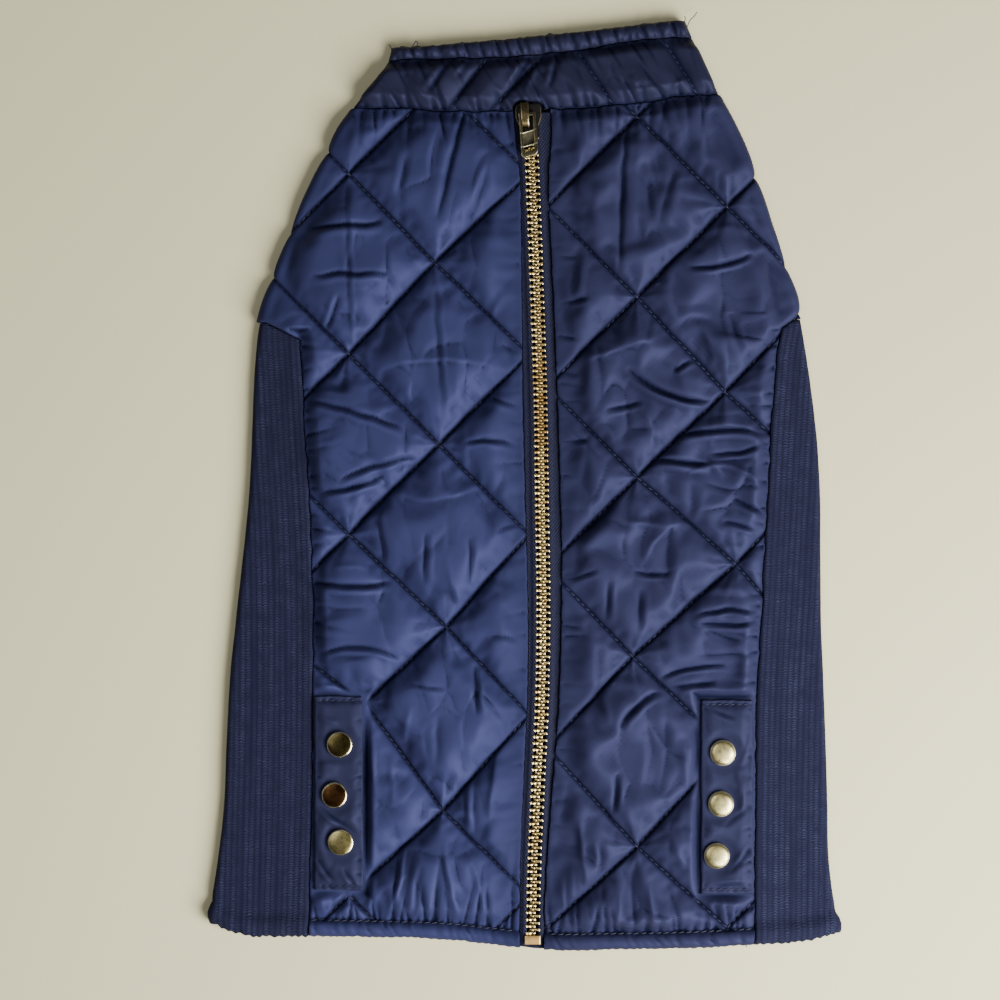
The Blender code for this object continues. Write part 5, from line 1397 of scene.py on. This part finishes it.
def make_tape(side):
    """A zip tape: thin twill with the cord that the teeth are clamped on along its inner edge."""
    low, ends = CHAIN_HALF - 0.7, (-177.2, 143.5)
    shown = np.linspace(*ends, 270)
    outer = side * (zip_edge_x(side, shown) - curve(ZIP_LINE, shown)) + 0.02
    inner = spread([(low, ends[1]), (low, ends[0])], 1.2)
    outline = join(np.stack([outer, shown], axis=1), inner) * (side, 1.0)

    def height(x, y):
        run = np.abs(x)
        cord = 0.35 * near_line(run - 3.3, 0.45)
        sunk = 0.45 * ease((run - 3.6) / 1.2)
        return TAPE_WALL + 0.08 * drift(x, y / 6.0, 141) + cord - sunk

    return lay_flat(
        f"tape_{SIDE_NAMES[side]}",
        outline,
        0.6,
        MATERIALS["tape"],
        TAPE_Z,
        height,
        lambda y: curve(ZIP_LINE, y),
    )


def copies(name, shape, matrices, material):
    """One piece from many placed copies of a small shape, both in millimetres."""
    small = bpy.data.meshes.new("small")
    shape.to_mesh(small)
    shape.free()
    body = bmesh.new()
    for matrix in matrices:
        placed = small.copy()
        placed.transform(matrix)
        body.from_mesh(placed)
        bpy.data.meshes.remove(placed)
    bpy.data.meshes.remove(small)
    bmesh.ops.scale(body, vec=(MM, MM, MM), verts=body.verts)
    return finished(name, body, material)


def tooth_shape():
    """One tooth along +x: a bar from its head to the thicker clamp on the tape's cord."""
    body = bmesh.new()
    for middle, size in TOOTH_BLOCKS:
        at = Matrix.Translation(middle) @ Matrix.Diagonal((*size, 1.0))
        made = bmesh.ops.create_cube(body, size=1.0, matrix=at)
        edges = {edge for corner in made["verts"] for edge in corner.link_edges}
        round_off(body, list(edges), 0.14, 1)
    return body


def make_teeth():
    """The closed chain: teeth of the two sides set turn about along the zip line."""
    chance = np.random.default_rng(151)
    y, high = CHAIN_Y[0] - 1.1, CHAIN_Y[1] - 0.6
    side = 1
    matrices = []
    while y < high:
        y += float(curve(TOOTH_PITCHES, y)) / 2
        side = -side
        turn = math.radians(float(chance.uniform(-2.2, 2.2))) + (0.0 if side > 0 else math.pi)
        x = float(curve(ZIP_LINE, y)) + side * float(chance.uniform(-0.08, 0.08))
        tilt = Matrix.Rotation(math.radians(float(chance.uniform(-4, 4))), 4, "X")
        spot = Matrix.Translation((x, y, CHAIN_MIDDLE_Z))
        matrices.append(spot @ Matrix.Rotation(turn, 4, "Z") @ tilt)
    return copies("zip_teeth", tooth_shape(), matrices, MATERIALS["tooth"])


def make_cap(name, x, y, material, flatter):
    """A snap's domed cap with a thin rolled rim, painted bright as rubbed plating and painted highlight: its
    half section, turned round.
    """
    base = TAB_Z + TAB_WALL + SEAM_GAP
    body = bmesh.new()
    worn = body.verts.layers.float.new("worn")
    column = 2 if flatter else 1
    corners = [body.verts.new((row[0] * SNAP_RADIUS, 0.0, row[column] * SNAP_HEIGHT)) for row in CAP_SECTION]
    edges = [body.edges.new(pair) for pair in zip(corners, corners[1:])]
    once_round = {"axis": (0, 0, 1), "angle": 2 * math.pi, "steps": 48, "use_merge": True}
    bmesh.ops.spin(body, geom=[*corners, *edges], cent=(0, 0, 0), **once_round)
    bmesh.ops.remove_doubles(body, verts=body.verts, dist=1e-4)
    bmesh.ops.recalc_face_normals(body, faces=body.faces)
    for corner in body.verts:
        # the rim painted bright, as rubbed plating and painted highlight
        corner[worn] = float(math.hypot(corner.co.x, corner.co.y) > 0.9 * SNAP_RADIUS)
    bmesh.ops.translate(body, verts=body.verts, vec=(x, y, base))
    bmesh.ops.scale(body, vec=(MM, MM, MM), verts=body.verts)
    return finished(name, body, material)


def slab(body, outline, low, high, round_by):
    """Adds a plate with this outline between two levels, its edges rounded and painted bright as rubbed
    plating and painted highlight.
    """
    worn = body.verts.layers.float.get("worn") or body.verts.layers.float.new("worn")
    before = set(body.verts)
    whole = body.faces.new([body.verts.new((float(x), float(y), low)) for x, y in outline])
    drawn_up(body, [whole], high - low)

    def added():
        corners = [corner for corner in body.verts if corner not in before]
        return corners, list({face for corner in corners for face in corner.link_faces})

    _, faces = added()
    bmesh.ops.recalc_face_normals(body, faces=faces)
    round_off(body, sharp_edges({edge for face in faces for edge in face.edges}), round_by)
    corners, faces = added()
    wear(corners, worn, 1.0)
    wide = [face for face in faces if face.calc_area() > 1.2]
    bmesh.ops.inset_region(body, faces=wide, thickness=0.15, use_boundary=True, use_even_offset=True)
    for face in wide:
        wear(face.verts, worn, 0.0)


def sharp_edges(edges):
    return [edge for edge in edges if len(edge.link_faces) == 2 and edge.calc_face_angle() > SHARP]


def wear(corners, worn, amount):
    """Marks how much of the bright edge colour a metal piece takes, from 0 to 1: rubbed plating and painted
    highlight.
    """
    for corner in corners:
        corner[worn] = amount


def bar(x0, x1, y0, y1, cut=0.0):
    """A rectangle's corners, its two low ones cut off."""
    corners = [(x0, y1), (x0, y0 + cut), (x0 + cut, y0), (x1 - cut, y0), (x1, y0 + cut), (x1, y1)]
    return corners if cut else [(x0, y0), (x1, y0), (x1, y1), (x0, y1)]


def set_metal(name, body, matrix, material):
    """Places a metal piece that was made about its own middle."""
    bmesh.ops.transform(body, matrix=Matrix.Diagonal((MM, MM, MM, 1.0)) @ matrix, verts=body.verts)
    return finished(name, body, material)


def make_slider():
    """The slider: two plates joined by a post at the neck end."""
    outline = [(-x, y) for y, x in SLIDER_PLATE] + [(x, y) for y, x in SLIDER_PLATE[::-1]]
    body = bmesh.new()
    slab(body, outline, 5.0, 6.1, 0.35)
    slab(body, outline, 2.75, 3.5, 0.2)
    slab(body, bar(-1.3, 1.3, 3.6, 6.4), 3.4, 5.1, 0.2)
    for way in (-1, 1):
        flange = [(way * x, y) for x, y in ((3.1, -6.6), (3.75, -6.6), (3.75, -1.7), (3.1, -1.7))]
        slab(body, flange, 4.45, 5.1, 0.12)
    spot = Matrix.Translation((*SLIDER_CENTRE, 0.0)) @ Matrix.Rotation(SLIDER_TURN, 4, "Z")
    return set_metal("slider_body", body, spot, MATERIALS["dark_bronze"])


def make_bail():
    """The slider's bail: a flat strip bent over the pull's bar, fuller at its low end."""
    body = bmesh.new()
    arch = []
    for share in np.linspace(0.0, 1.0, 15):
        angle = math.pi * share
        arch.append((-5.1 * math.cos(angle) - 0.2, 5.9 + 3.6 * math.sin(angle) ** 0.62))
    inner = [(0.72 * (y + 0.2) - 0.2, 5.9 + 0.64 * (z - 5.9)) for y, z in arch[::-1]]
    slab(body, arch + inner, -1.65, 1.65, 0.45)
    # Drawn as (along, up, across): turned to stand across the slider
    stand = Matrix(((0, 0, 1, 0), (1, 0, 0, 0), (0, 1, 0, 0), (0, 0, 0, 1)))
    x, y, _ = PULL_AXIS
    spot = Matrix.Translation((x - 0.8, y, 0.0)) @ Matrix.Rotation(SLIDER_TURN, 4, "Z") @ stand
    return set_metal("slider_bail", body, spot, MATERIALS["bail"])


def make_pull():
    """The pull tab: a frame with a window for the bail, a dull plate let into it and a slot near its end."""
    body = bmesh.new()
    worn = body.verts.layers.float.new("worn")
    half, side_bar, (slot_low, slot_high), (plate_low, plate_high), (window_low, window_high) = PULL_SHAPE
    outline = bar(-3.3, 3.3, -16.15, half, 0.9)
    levels = (slot_low, slot_high, plate_low, plate_high, window_low, window_high)
    whole = body.faces.new([body.verts.new((x, y, -half)) for x, y in outline])

    def between(faces, low, high):
        middles = ((face, face.calc_center_median()) for face in faces)
        return [face for face, middle in middles if abs(middle.x) < side_bar and low < middle.y < high]

    faces = score(body, [whole], (-side_bar, side_bar), levels)
    gone = between(faces, slot_low, slot_high) + between(faces, window_low, window_high)
    bmesh.ops.delete(body, geom=gone, context="FACES")
    drawn_up(body, body.faces[:], 2 * half)
    bmesh.ops.recalc_face_normals(body, faces=body.faces)
    level = between(body.faces, plate_low, plate_high)
    plates = [face for face in level if face.calc_center_median().z > 0.9 * half]
    bmesh.ops.inset_region(body, faces=plates, thickness=0.12, depth=-0.3)
    for face in plates:
        face.material_index = 1
    outer = [edge for edge in sharp_edges(body.edges) if not any(face in plates for face in edge.link_faces)]
    round_off(body, outer, 0.2)
    # the frame's edges painted bright, as rubbed plating and painted highlight; its wide faces and plate are
    # not
    wear(body.verts, worn, 1.0)
    wide = [face for face in body.faces if abs(face.normal.z) > 0.9 and face.calc_area() > 0.3]
    wide = [face for face in wide if face.material_index == 0]
    bmesh.ops.inset_region(body, faces=wide, thickness=0.13, use_boundary=True, use_even_offset=True)
    for face in [*wide, *(face for face in body.faces if face.material_index == 1)]:
        wear(face.verts, worn, 0.0)
    # The cross bars slope, as the tab was struck a little out of square
    for corner in body.verts:
        corner.co.y += 0.2 * corner.co.x * float(ease((-half - corner.co.y) / 5.0))
    spot = Matrix.Translation(PULL_AXIS) @ Matrix.Rotation(PULL_TURN, 4, "Z")
    piece = set_metal("pull_frame", body, spot, MATERIALS["bronze"])
    piece.data.materials.append(MATERIALS["plate"])
    return piece


def make_stop():
    """The box that holds the two sides of the zip together at the hem."""
    body = bmesh.new()
    slab(body, bar(-3.05, 3.05, -1.75, 1.75), 2.9, 6.0, 0.3)
    spot = Matrix.Translation((float(curve(ZIP_LINE, BOX_Y)), BOX_Y, 0.0))
    return set_metal("zip_box", body, spot, MATERIALS["box"])


def make_loose_threads():
    """Short thread ends left at the seams' ends."""
    body = bmesh.new()
    for path in LOOSE_THREADS:
        line = rounded(path, 12)
        rings = []
        for number, point in enumerate(line):
            ahead = Vector(line[min(number + 1, len(line) - 1)] - line[max(number - 1, 0)])
            spot = Matrix.Translation(Vector(point)) @ upright_along(ahead)
            corners = bmesh.ops.create_circle(body, segments=5, radius=0.17, matrix=spot)["verts"]
            rings.append([edge for edge in body.edges if set(edge.verts) <= set(corners)])
        for first, second in zip(rings, rings[1:]):
            bmesh.ops.bridge_loops(body, edges=first + second)
    rim = [edge for edge in body.edges if edge.is_boundary]
    bmesh.ops.holes_fill(body, edges=rim, sides=0)
    bmesh.ops.recalc_face_normals(body, faces=body.faces)
    bmesh.ops.scale(body, vec=(MM, MM, MM), verts=body.verts)
    return finished("loose_threads", body, MATERIALS["quilt_thread"])


def upright_along(run):
    """The turn that stands a shape's own height along a direction."""
    return run.to_track_quat("Z", "Y").to_matrix().to_4x4()


def rounded(path, count):
    """A smooth line through a few points in space."""
    path = np.array(path, float)
    keys = np.arange(len(path), dtype=float)
    at = np.linspace(0, len(path) - 1, count)
    return np.stack([curve(np.stack([keys, path[:, axis]], axis=1), at) for axis in range(3)], axis=1)


# ---------- sewing ----------

def stitch_shape():
    body = bmesh.new()
    bmesh.ops.create_uvsphere(body, u_segments=7, v_segments=6, radius=0.5)
    return body


def sew(name, rows, length=2.4, width=0.62, thread="quilt_thread"):
    """Stitches between pairs of points on a surface, each a small capsule half sunk in it."""
    matrices = []
    slant = Matrix.Rotation(math.radians(12.0), 4, "Z")
    for start, end in rows:
        turned = upright_along(slant @ Vector(end - start))
        spot = Matrix.Translation(Vector((start + end) / 2) + Vector((0, 0, 0.06)))
        matrices.append(spot @ turned @ Matrix.Diagonal((width, width * 0.8, length, 1.0)))
    return copies(name, stitch_shape(), matrices, MATERIALS[thread])


def stitch_ends(lines, pitch, length):
    """Both ends of every stitch along lines of cloth points: two arrays of x and y."""
    starts, ends = [], []
    for line in lines:
        line = np.array(line, float)
        gaps = np.hypot(*(line[1:] - line[:-1]).T)
        run = np.concatenate([[0.0], np.cumsum(gaps)])
        at = np.arange(pitch / 2, run[-1] - pitch / 2, pitch)
        for found, shift in ((starts, -length / 2), (ends, length / 2)):
            found.append(np.stack([np.interp(at + shift, run, line[:, k]) for k in (0, 1)], axis=1))
    return np.vstack(starts), np.vstack(ends)


def quilt_stitches(side, loop):
    """The stitched net of a panel, where it shows."""
    reach = np.arange(-9.0, 9.01, 0.05)
    lines = []
    for number in range(-8, 9):
        held = np.full(len(reach), float(number))
        for pair in ((held, reach), (reach, held)):
            lines.append(np.stack(from_net(side, *pair), axis=1))
    low_y, high_y = loop[:, 1].min(), loop[:, 1].max()
    lines = [line[(line[:, 1] > low_y - 5) & (line[:, 1] < high_y + 5)] for line in lines]
    starts, ends = stitch_ends([line for line in lines if len(line) > 4], 2.7, 2.2)
    x, y = ((starts + ends) / 2).T
    _, turn, _ = fold_turn(x, y)
    shown = inside(x, y, loop) & (from_outline(x, y, loop) > 1.2) & (turn < 0.6)
    shown &= (tab_bed(side, x, y) < 0.2) & (y - curve(HEM_EDGE, x) > HEM_DEPTH + 0.8)
    starts, ends = starts[shown], ends[shown]
    hem_x = np.arange(loop[:, 0].min(), loop[:, 0].max(), 1.0)
    hem_y = curve(HEM_EDGE, hem_x) + HEM_DEPTH
    kept = (np.abs(hem_x - curve(ZIP_LINE, hem_y)) > zip_half(side, hem_y) + 1.0) & inside(hem_x, hem_y, loop)
    hem = stitch_ends([np.stack([hem_x, hem_y], axis=1)[kept]], 2.9, 2.2)
    sewn = []
    for title, rows in (("quilt_thread", (starts, ends)), ("hem_thread", hem)):
        sides = [place(*both.T, quilted_wall(side, loop, *both.T), 1) for both in rows]
        sewn.append(sew(f"{title}_{SIDE_NAMES[side]}", zip(*sides), thread=title))
    return sewn


def collar_stitches(loop):
    starts, ends = stitch_ends([[(x0, y0), (x1, y1)] for x0, y0, x1, y1 in COLLAR_LINES], 2.6, 2.0)
    x, y = ((starts + ends) / 2).T
    shown = inside(x, y, loop) & (from_outline(x, y, loop) > 1.0)
    sides = [place(*both[shown].T, collar_wall(loop, *both[shown].T), 1) for both in (starts, ends)]
    return sew("collar_thread", zip(*sides), 2.2, 0.55)


def tab_stitches(side):
    (x0, x1), (y0, y1), _ = TABS[side]
    lines = [[(x0 + 1, y), (x1 - 1, y)] for y in (y0 + TAB_STITCH, y1 - TAB_STITCH)]
    both_ends = stitch_ends(lines, 2.5, 1.9)
    sides = [np.column_stack([ends, TAB_Z + tab_height(side, *ends.T)]) for ends in both_ends]
    return sew(f"tab_thread_{SIDE_NAMES[side]}", zip(*sides), 2.0, 0.5)


# ---------- materials ----------

def group(name, inputs, outputs):
    """An empty shader group. An input given as None is a place, as a float a number, and else a colour."""
    made = bpy.data.node_groups.new(name, "ShaderNodeTree")
    for title, value in inputs.items():
        kind = "Vector" if value is None else "Float" if isinstance(value, float) else "Color"
        socket = made.interface.new_socket(title, in_out="INPUT", socket_type=f"NodeSocket{kind}")
        if value is not None:
            socket.default_value = value
    for title in outputs:
        kind = "Color" if title == "Colour" else "Float"
        made.interface.new_socket(title, in_out="OUTPUT", socket_type=f"NodeSocket{kind}")
    return made, made.nodes.new("NodeGroupInput").outputs, made.nodes.new("NodeGroupOutput")


def feed(tree, socket, value):
    """Sets a node's input, or links another node's output to it."""
    if isinstance(value, bpy.types.NodeSocket):
        tree.links.new(value, socket)
    else:
        socket.default_value = value


def node(tree, kind, inputs=None, **settings):
    made = tree.nodes.new(f"ShaderNode{kind}")
    for key, value in settings.items():
        setattr(made, key, value)
    for key, value in (inputs or {}).items():
        feed(tree, made.inputs[key], value)
    return made


def maths(tree, operation, first, second=0.0, third=0.0):
    return node(tree, "Math", {0: first, 1: second, 2: third}, operation=operation).outputs[0]


def blend(tree, factor, first, second, way="MIX"):
    made = node(tree, "Mix", {0: factor, 6: first, 7: second}, data_type="RGBA", blend_type=way)
    return made.outputs[2]


def within(tree, value):
    """A value kept from 0 to 1."""
    return maths(tree, "MINIMUM", maths(tree, "MAXIMUM", value, 0.0), 1.0)


def grain(tree, spot, scale, detail, **more):
    """Noise over a surface, from 0 to 1."""
    return node(tree, "TexNoise", {"Vector": spot, "Scale": scale, "Detail": detail, **more}).outputs["Fac"]


def streaks(tree, spot, share, turn=0.0):
    """Places squeezed one way, so that a pattern on them is drawn out into streaks."""
    given = {"Vector": spot, "Rotation": (0.0, 0.0, turn), "Scale": (1.0, share, 1.0)}
    return node(tree, "Mapping", given).outputs["Vector"]


def put_out(tree, put, **found):
    """Links what a group has found to its outputs."""
    for title, socket in found.items():
        tree.links.new(socket, put.inputs[title])
    return tree


def satin_group():
    """Filament satin: fine floats across the cloth, a slight crinkle, cloudy colour, and painted shade, also
    rougher, where the cloth lies in grooves and creases.
    """
    tree, given, put = group(
        "satin_floats",
        {
            "Cloth": None,
            "Hollow": 0.0,
            "Colour": (0.02, 0.03, 0.1, 1),
            "Shade": (0.01, 0.015, 0.06, 1),
            "Deep": (0.003, 0.004, 0.016, 1),
        },
        ("Colour", "Height", "Roughness"),
    )
    work = partial(maths, tree)
    cloud = grain(tree, given["Cloth"], 55.0, 3.0)
    crinkle = grain(tree, given["Cloth"], 420.0, 3.0, Roughness=0.55)
    yarn = grain(tree, streaks(tree, given["Cloth"], 0.12), 5200.0, 1.0)
    height = work("MULTIPLY_ADD", crinkle, 0.85, work("MULTIPLY", yarn, 0.15))
    tone = blend(tree, cloud, given["Shade"], given["Colour"])
    # painted shade: grooves and creases blend to a near-black navy
    tone = blend(tree, given["Hollow"], tone, given["Deep"])
    rough = work("MULTIPLY_ADD", given["Hollow"], 0.4, work("MULTIPLY_ADD", cloud, 0.10, 0.50))
    return put_out(tree, put, Colour=tone, Height=height, Roughness=rough)


def knit_group():
    """Rib knit: small arched loops in upright columns, their tops painted light with fibres and painted
    highlight, some lighter than others, and painted shade between the columns.
    """
    tree, given, put = group(
        "knit_loops",
        {
            "Cloth": None,
            "Wale": RIB_PITCH * MM,
            "Course": 0.95 * MM,
            "Colour": (0.02, 0.03, 0.1, 1),
            "Shade": (0.01, 0.01, 0.04, 1),
            "Fibre": (0.1, 0.12, 0.25, 1),
        },
        ("Colour", "Height"),
    )
    work = partial(maths, tree)
    cloth = given["Cloth"]
    split = node(tree, "SeparateXYZ", {"Vector": cloth}).outputs
    wobble = grain(tree, cloth, 260.0, 2.0)
    shifted = work("MULTIPLY_ADD", wobble, 0.9 * MM, split["X"])
    in_wale = work("PINGPONG", work("DIVIDE", shifted, given["Wale"]), 0.5)
    up = work("ADD", work("DIVIDE", split["Y"], given["Course"]), work("MULTIPLY", wobble, 2.8))
    arch = work("MULTIPLY", work("MULTIPLY", in_wale, in_wale), -1.6)
    turns = work("MULTIPLY", work("ADD", arch, up), 2 * math.pi)
    loops = work("MULTIPLY_ADD", work("SINE", turns), 0.5, 0.5)
    crown = work("POWER", work("SINE", work("MULTIPLY", in_wale, math.pi)), 0.4)
    height = work("MULTIPLY", loops, crown)
    column = grain(tree, streaks(tree, cloth, 0.05), 330.0, 1.0)
    patch = grain(tree, cloth, 190.0, 3.0)
    fuzz = work("MULTIPLY", work("MULTIPLY_ADD", column, 2.4, -0.6), work("MULTIPLY_ADD", patch, 3.0, -0.6))
    lit = within(tree, work("MULTIPLY", work("POWER", height, 1.6), fuzz))
    # painted shade between the columns; the loops' raised tops take light fibres and painted highlight
    tone = blend(tree, work("MULTIPLY_ADD", crown, 0.5, 0.2), given["Shade"], given["Colour"])
    tone = blend(tree, lit, tone, given["Fibre"])
    return put_out(tree, put, Colour=tone, Height=height)


def twill_group():
    """Woven tape: steep ribs that lean out to both sides from the chain, as a chevron, their tops painted
    light as glints and their valleys painted shade.
    """
    tree, given, put = group(
        "tape_twill",
        {"Cloth": None, "Rib": 1.55 * MM, "Colour": (0.02, 0.03, 0.1, 1), "Shade": (0.01, 0.01, 0.04, 1)},
        ("Colour", "Height"),
    )
    work = partial(maths, tree)
    cloth = given["Cloth"]
    split = node(tree, "SeparateXYZ", {"Vector": cloth}).outputs
    slant = work("MULTIPLY_ADD", work("ABSOLUTE", split["X"]), -1.4, split["Y"])
    turns = work("MULTIPLY", work("DIVIDE", slant, given["Rib"]), 2 * math.pi)
    ribs = work("POWER", work("MULTIPLY_ADD", work("SINE", turns), 0.5, 0.5), 1.6)
    breaks = grain(tree, cloth, 900.0, 1.0)
    ribs = work("MULTIPLY", ribs, work("MULTIPLY_ADD", breaks, 1.8, -0.1))
    fray = grain(tree, cloth, 2600.0, 2.0)
    # painted glints on the ribs, painted shade between them
    tone = blend(tree, ribs, given["Shade"], given["Colour"])
    return put_out(tree, put, Colour=tone, Height=work("MULTIPLY_ADD", fray, 0.4, ribs))


def metal_group():
    """Plated metal: cloudy tarnish, fine scratches and small dents, shade painted in low down, and edges
    painted bright as rubbed plating and painted highlight.
    """
    tree, given, put = group(
        "plated_metal",
        {
            "Place": None,
            "Bright": (0.8, 0.65, 0.35, 1),
            "Tarnish": (0.3, 0.2, 0.08, 1),
            "Amount": 0.5,
            "Polish": 0.2,
            "Edge": (0.8, 0.65, 0.35, 1),
            "Worn": 0.0,
            "Dull foot": -0.002,
            "Bright top": -0.001,
            "Browned place": 10.0,
        },
        ("Colour", "Height", "Roughness"),
    )
    work = partial(maths, tree)
    spot = given["Place"]
    cloud = grain(tree, spot, 380.0, 4.0, Roughness=0.6)
    scratch = grain(tree, streaks(tree, spot, 0.08, 0.7), 4200.0, 1.0)
    mask = node(tree, "MapRange", {"Value": cloud, "From Min": 0.38, "From Max": 0.68}).outputs["Result"]
    broad = grain(tree, spot, 24.0, 1.0)
    mask = work("MULTIPLY", mask, work("MULTIPLY_ADD", broad, 2.4, -0.3))
    mask = work("MULTIPLY", mask, given["Amount"])
    axes = node(tree, "SeparateXYZ", {"Vector": spot}).outputs
    along = work("DIVIDE", work("SUBTRACT", axes["Y"], given["Browned place"]), 34.0 * MM)
    browned = work("POWER", 0.37, work("MULTIPLY", along, along))
    mask = within(tree, work("MULTIPLY_ADD", browned, work("MULTIPLY_ADD", cloud, 0.9, 0.15), mask))
    tone = blend(tree, mask, given["Bright"], given["Tarnish"])
    # painted shade: a piece is darker from a foot height up to a top height
    ends = {"Value": axes["Z"], "From Min": given["Dull foot"], "From Max": given["Bright top"]}
    dull = blend(tree, 1.0, given["Tarnish"], (0.25, 0.22, 0.2, 1), "MULTIPLY")
    tone = blend(tree, node(tree, "MapRange", ends).outputs["Result"], dull, tone)
    # edges painted bright, as rubbed plating and painted highlight
    tone = blend(tree, given["Worn"], tone, given["Edge"])
    height = work("MULTIPLY_ADD", scratch, 0.35, cloud)
    rough = work("MULTIPLY_ADD", mask, 0.25, given["Polish"])
    return put_out(tree, put, Colour=tone, Height=height, Roughness=rough)


def thread_group():
    """Twisted sewing thread, light and dark along each stitch."""
    tree, given, put = group(
        "thread_twist",
        {"Place": None, "Colour": (0.03, 0.03, 0.06, 1), "Shade": (0.01, 0.01, 0.02, 1)},
        ("Colour", "Height"),
    )
    twist = grain(tree, given["Place"], 2200.0, 2.0)
    return put_out(tree, put, Colour=blend(tree, twist, given["Shade"], given["Colour"]), Height=twist)


def material(name, effect, values, bump, fixed):
    """A finish: one effect group feeding a Principled shader, with its fixed numbers on the shader itself."""
    made = bpy.data.materials.new(name)
    made.use_nodes = True
    tree = made.node_tree
    shader = tree.nodes["Principled BSDF"]
    for key, value in fixed.items():
        shader.inputs[key].default_value = value
    used = tree.nodes.new("ShaderNodeGroup")
    used.node_tree = effect
    if "Cloth" in used.inputs:
        spot = node(tree, "UVMap", uv_map="cloth").outputs["UV"]
    else:
        spot = node(tree, "TexCoord").outputs["Object"]
    tree.links.new(spot, used.inputs[0])
    # the painted shade of grooves, and the bright edge colour of metal, rubbed plating and painted highlight,
    # are read from the piece's points
    for mark in ("Hollow", "Worn"):
        if mark in used.inputs:
            amount = node(tree, "Attribute", attribute_name=mark.lower()).outputs["Fac"]
            tree.links.new(amount, used.inputs[mark])
    for key, value in values.items():
        used.inputs[key].default_value = (*value, 1) if isinstance(value, tuple) else value
    strength, depth = bump
    raised = {"Strength": strength, "Distance": depth * MM, "Height": used.outputs["Height"]}
    tree.links.new(used.outputs["Colour"], shader.inputs["Base Color"])
    if "Roughness" in used.outputs:
        tree.links.new(used.outputs["Roughness"], shader.inputs["Roughness"])
    tree.links.new(node(tree, "Bump", raised).outputs["Normal"], shader.inputs["Normal"])
    return made


def make_materials():
    satin, metal = satin_group(), metal_group()
    effects = {"knit": knit_group(), "twill": twill_group(), "thread": thread_group()}
    made = {}
    for name, (colour, shine) in SATINS.items():
        values = {"Colour": colour, "Shade": tuple(0.7 * part for part in colour)}
        fixed = {"Specular IOR Level": shine, "Specular Tint": SATIN_TINT}
        made[f"satin_{name}"] = material(f"navy_satin_{name}", satin, values, (0.35, 0.12), fixed)
    for name, (title, effect, colour, shade, bump, roughness, shine) in CLOTHS.items():
        values = {"Colour": colour, "Shade": shade}
        if effect == "knit":
            values["Fibre"] = KNIT_FIBRE
        fixed = {"Roughness": roughness, "Specular IOR Level": shine}
        made[name] = material(title, effects[effect], values, bump, fixed)
    for name, (title, *plating, bump) in METALS.items():
        values = dict(zip(("Bright", "Tarnish", "Edge", "Amount", "Polish"), plating))
        if name == "tooth":
            values |= TOOTH_AGEING
        made[name] = material(title, metal, values, bump, {"Metallic": 1.0})
    return made


# ---------- stage ----------

def make_stage():
    """A plain pale table, two soft lamps and the camera straight above."""
    floor = bpy.data.meshes.new("floor")
    body = bmesh.new()
    bmesh.ops.create_grid(body, x_segments=1, y_segments=1, size=2.0)
    body.to_mesh(floor)
    body.free()
    paint = bpy.data.materials.new("pale_table")
    paint.use_nodes = True
    shader = paint.node_tree.nodes["Principled BSDF"]
    shader.inputs["Base Color"].default_value = (0.70, 0.655, 0.405, 1)
    shader.inputs["Roughness"].default_value = 0.7
    floor.materials.append(paint)
    table = shown("floor", floor)
    table.location.z = -0.4 * MM
    world = bpy.data.worlds.new("studio")
    bpy.context.scene.world = world
    world.use_nodes = True
    sky = world.node_tree.nodes["Background"].inputs
    sky["Color"].default_value = (1.0, 0.97, 0.93, 1)
    sky["Strength"].default_value = 0.10
    for name, spot, size, power, colour in LAMPS:
        lamp = bpy.data.lights.new(name, "AREA")
        lamp.shape = "RECTANGLE"
        lamp.size, lamp.size_y = size
        lamp.energy = power
        lamp.color = colour
        holder = shown(name, lamp)
        holder.location = spot
        holder.rotation_euler = (-Vector(spot)).to_track_quat("-Z", "Y").to_euler()
    lens = bpy.data.cameras.new("camera")
    lens.lens = LENS
    lens.sensor_width = SENSOR
    camera = shown("camera", lens)
    above = FRAME_WIDTH / SENSOR * LENS
    camera.location = (Vector(FRAME_MIDDLE) + Vector((0, 0, above))) * MM
    bpy.context.scene.camera = camera


# ---------- the coat ----------

MATERIALS = make_materials()
make_stage()
for side, name in SIDE_NAMES.items():
    panel, outline = make_quilted(side)
    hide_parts(f"quilted_panel_{name}")
    tab = make_tab(side)
    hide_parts(f"welt_tab_{name}")
    tape = make_tape(side)
    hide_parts(f"zip_tape_{name}")
    sewn = [*quilt_stitches(side, outline), tab_stitches(side)]
    caps = []
    for number, (x, y) in enumerate(TABS[side][2], 1):
        # the left snaps take darker platings, a painted reflection
        plating = MATERIALS[CAP_PLATINGS[side][number - 1] + "_cap"]
        cap = make_cap(f"cap_{name}_{number}", x, y, plating, side < 0)
        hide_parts(f"snap_{name}_{number}")
        caps.append(cap)
    for piece in (panel, tab, tape, *sewn, *caps):
        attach(piece, "coat")
rib = make_rib()
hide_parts("rib_panel")
collar, collar_outline = make_collar()
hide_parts("collar")
collar_sewing = collar_stitches(collar_outline)
casing = make_casing()
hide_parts("collar_casing")
teeth = make_teeth()
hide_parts("zip_chain")
slider, bail, stop = make_slider(), make_bail(), make_stop()
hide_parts("zip_slider")
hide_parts("zip_slider")
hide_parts("zip_stop")
ends = make_loose_threads()
for piece in (rib, collar, casing, teeth, slider, bail, stop, collar_sewing, ends):
    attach(piece, "coat")
pull = make_pull()
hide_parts("zip_pull")
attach(pull, "pull_tab")
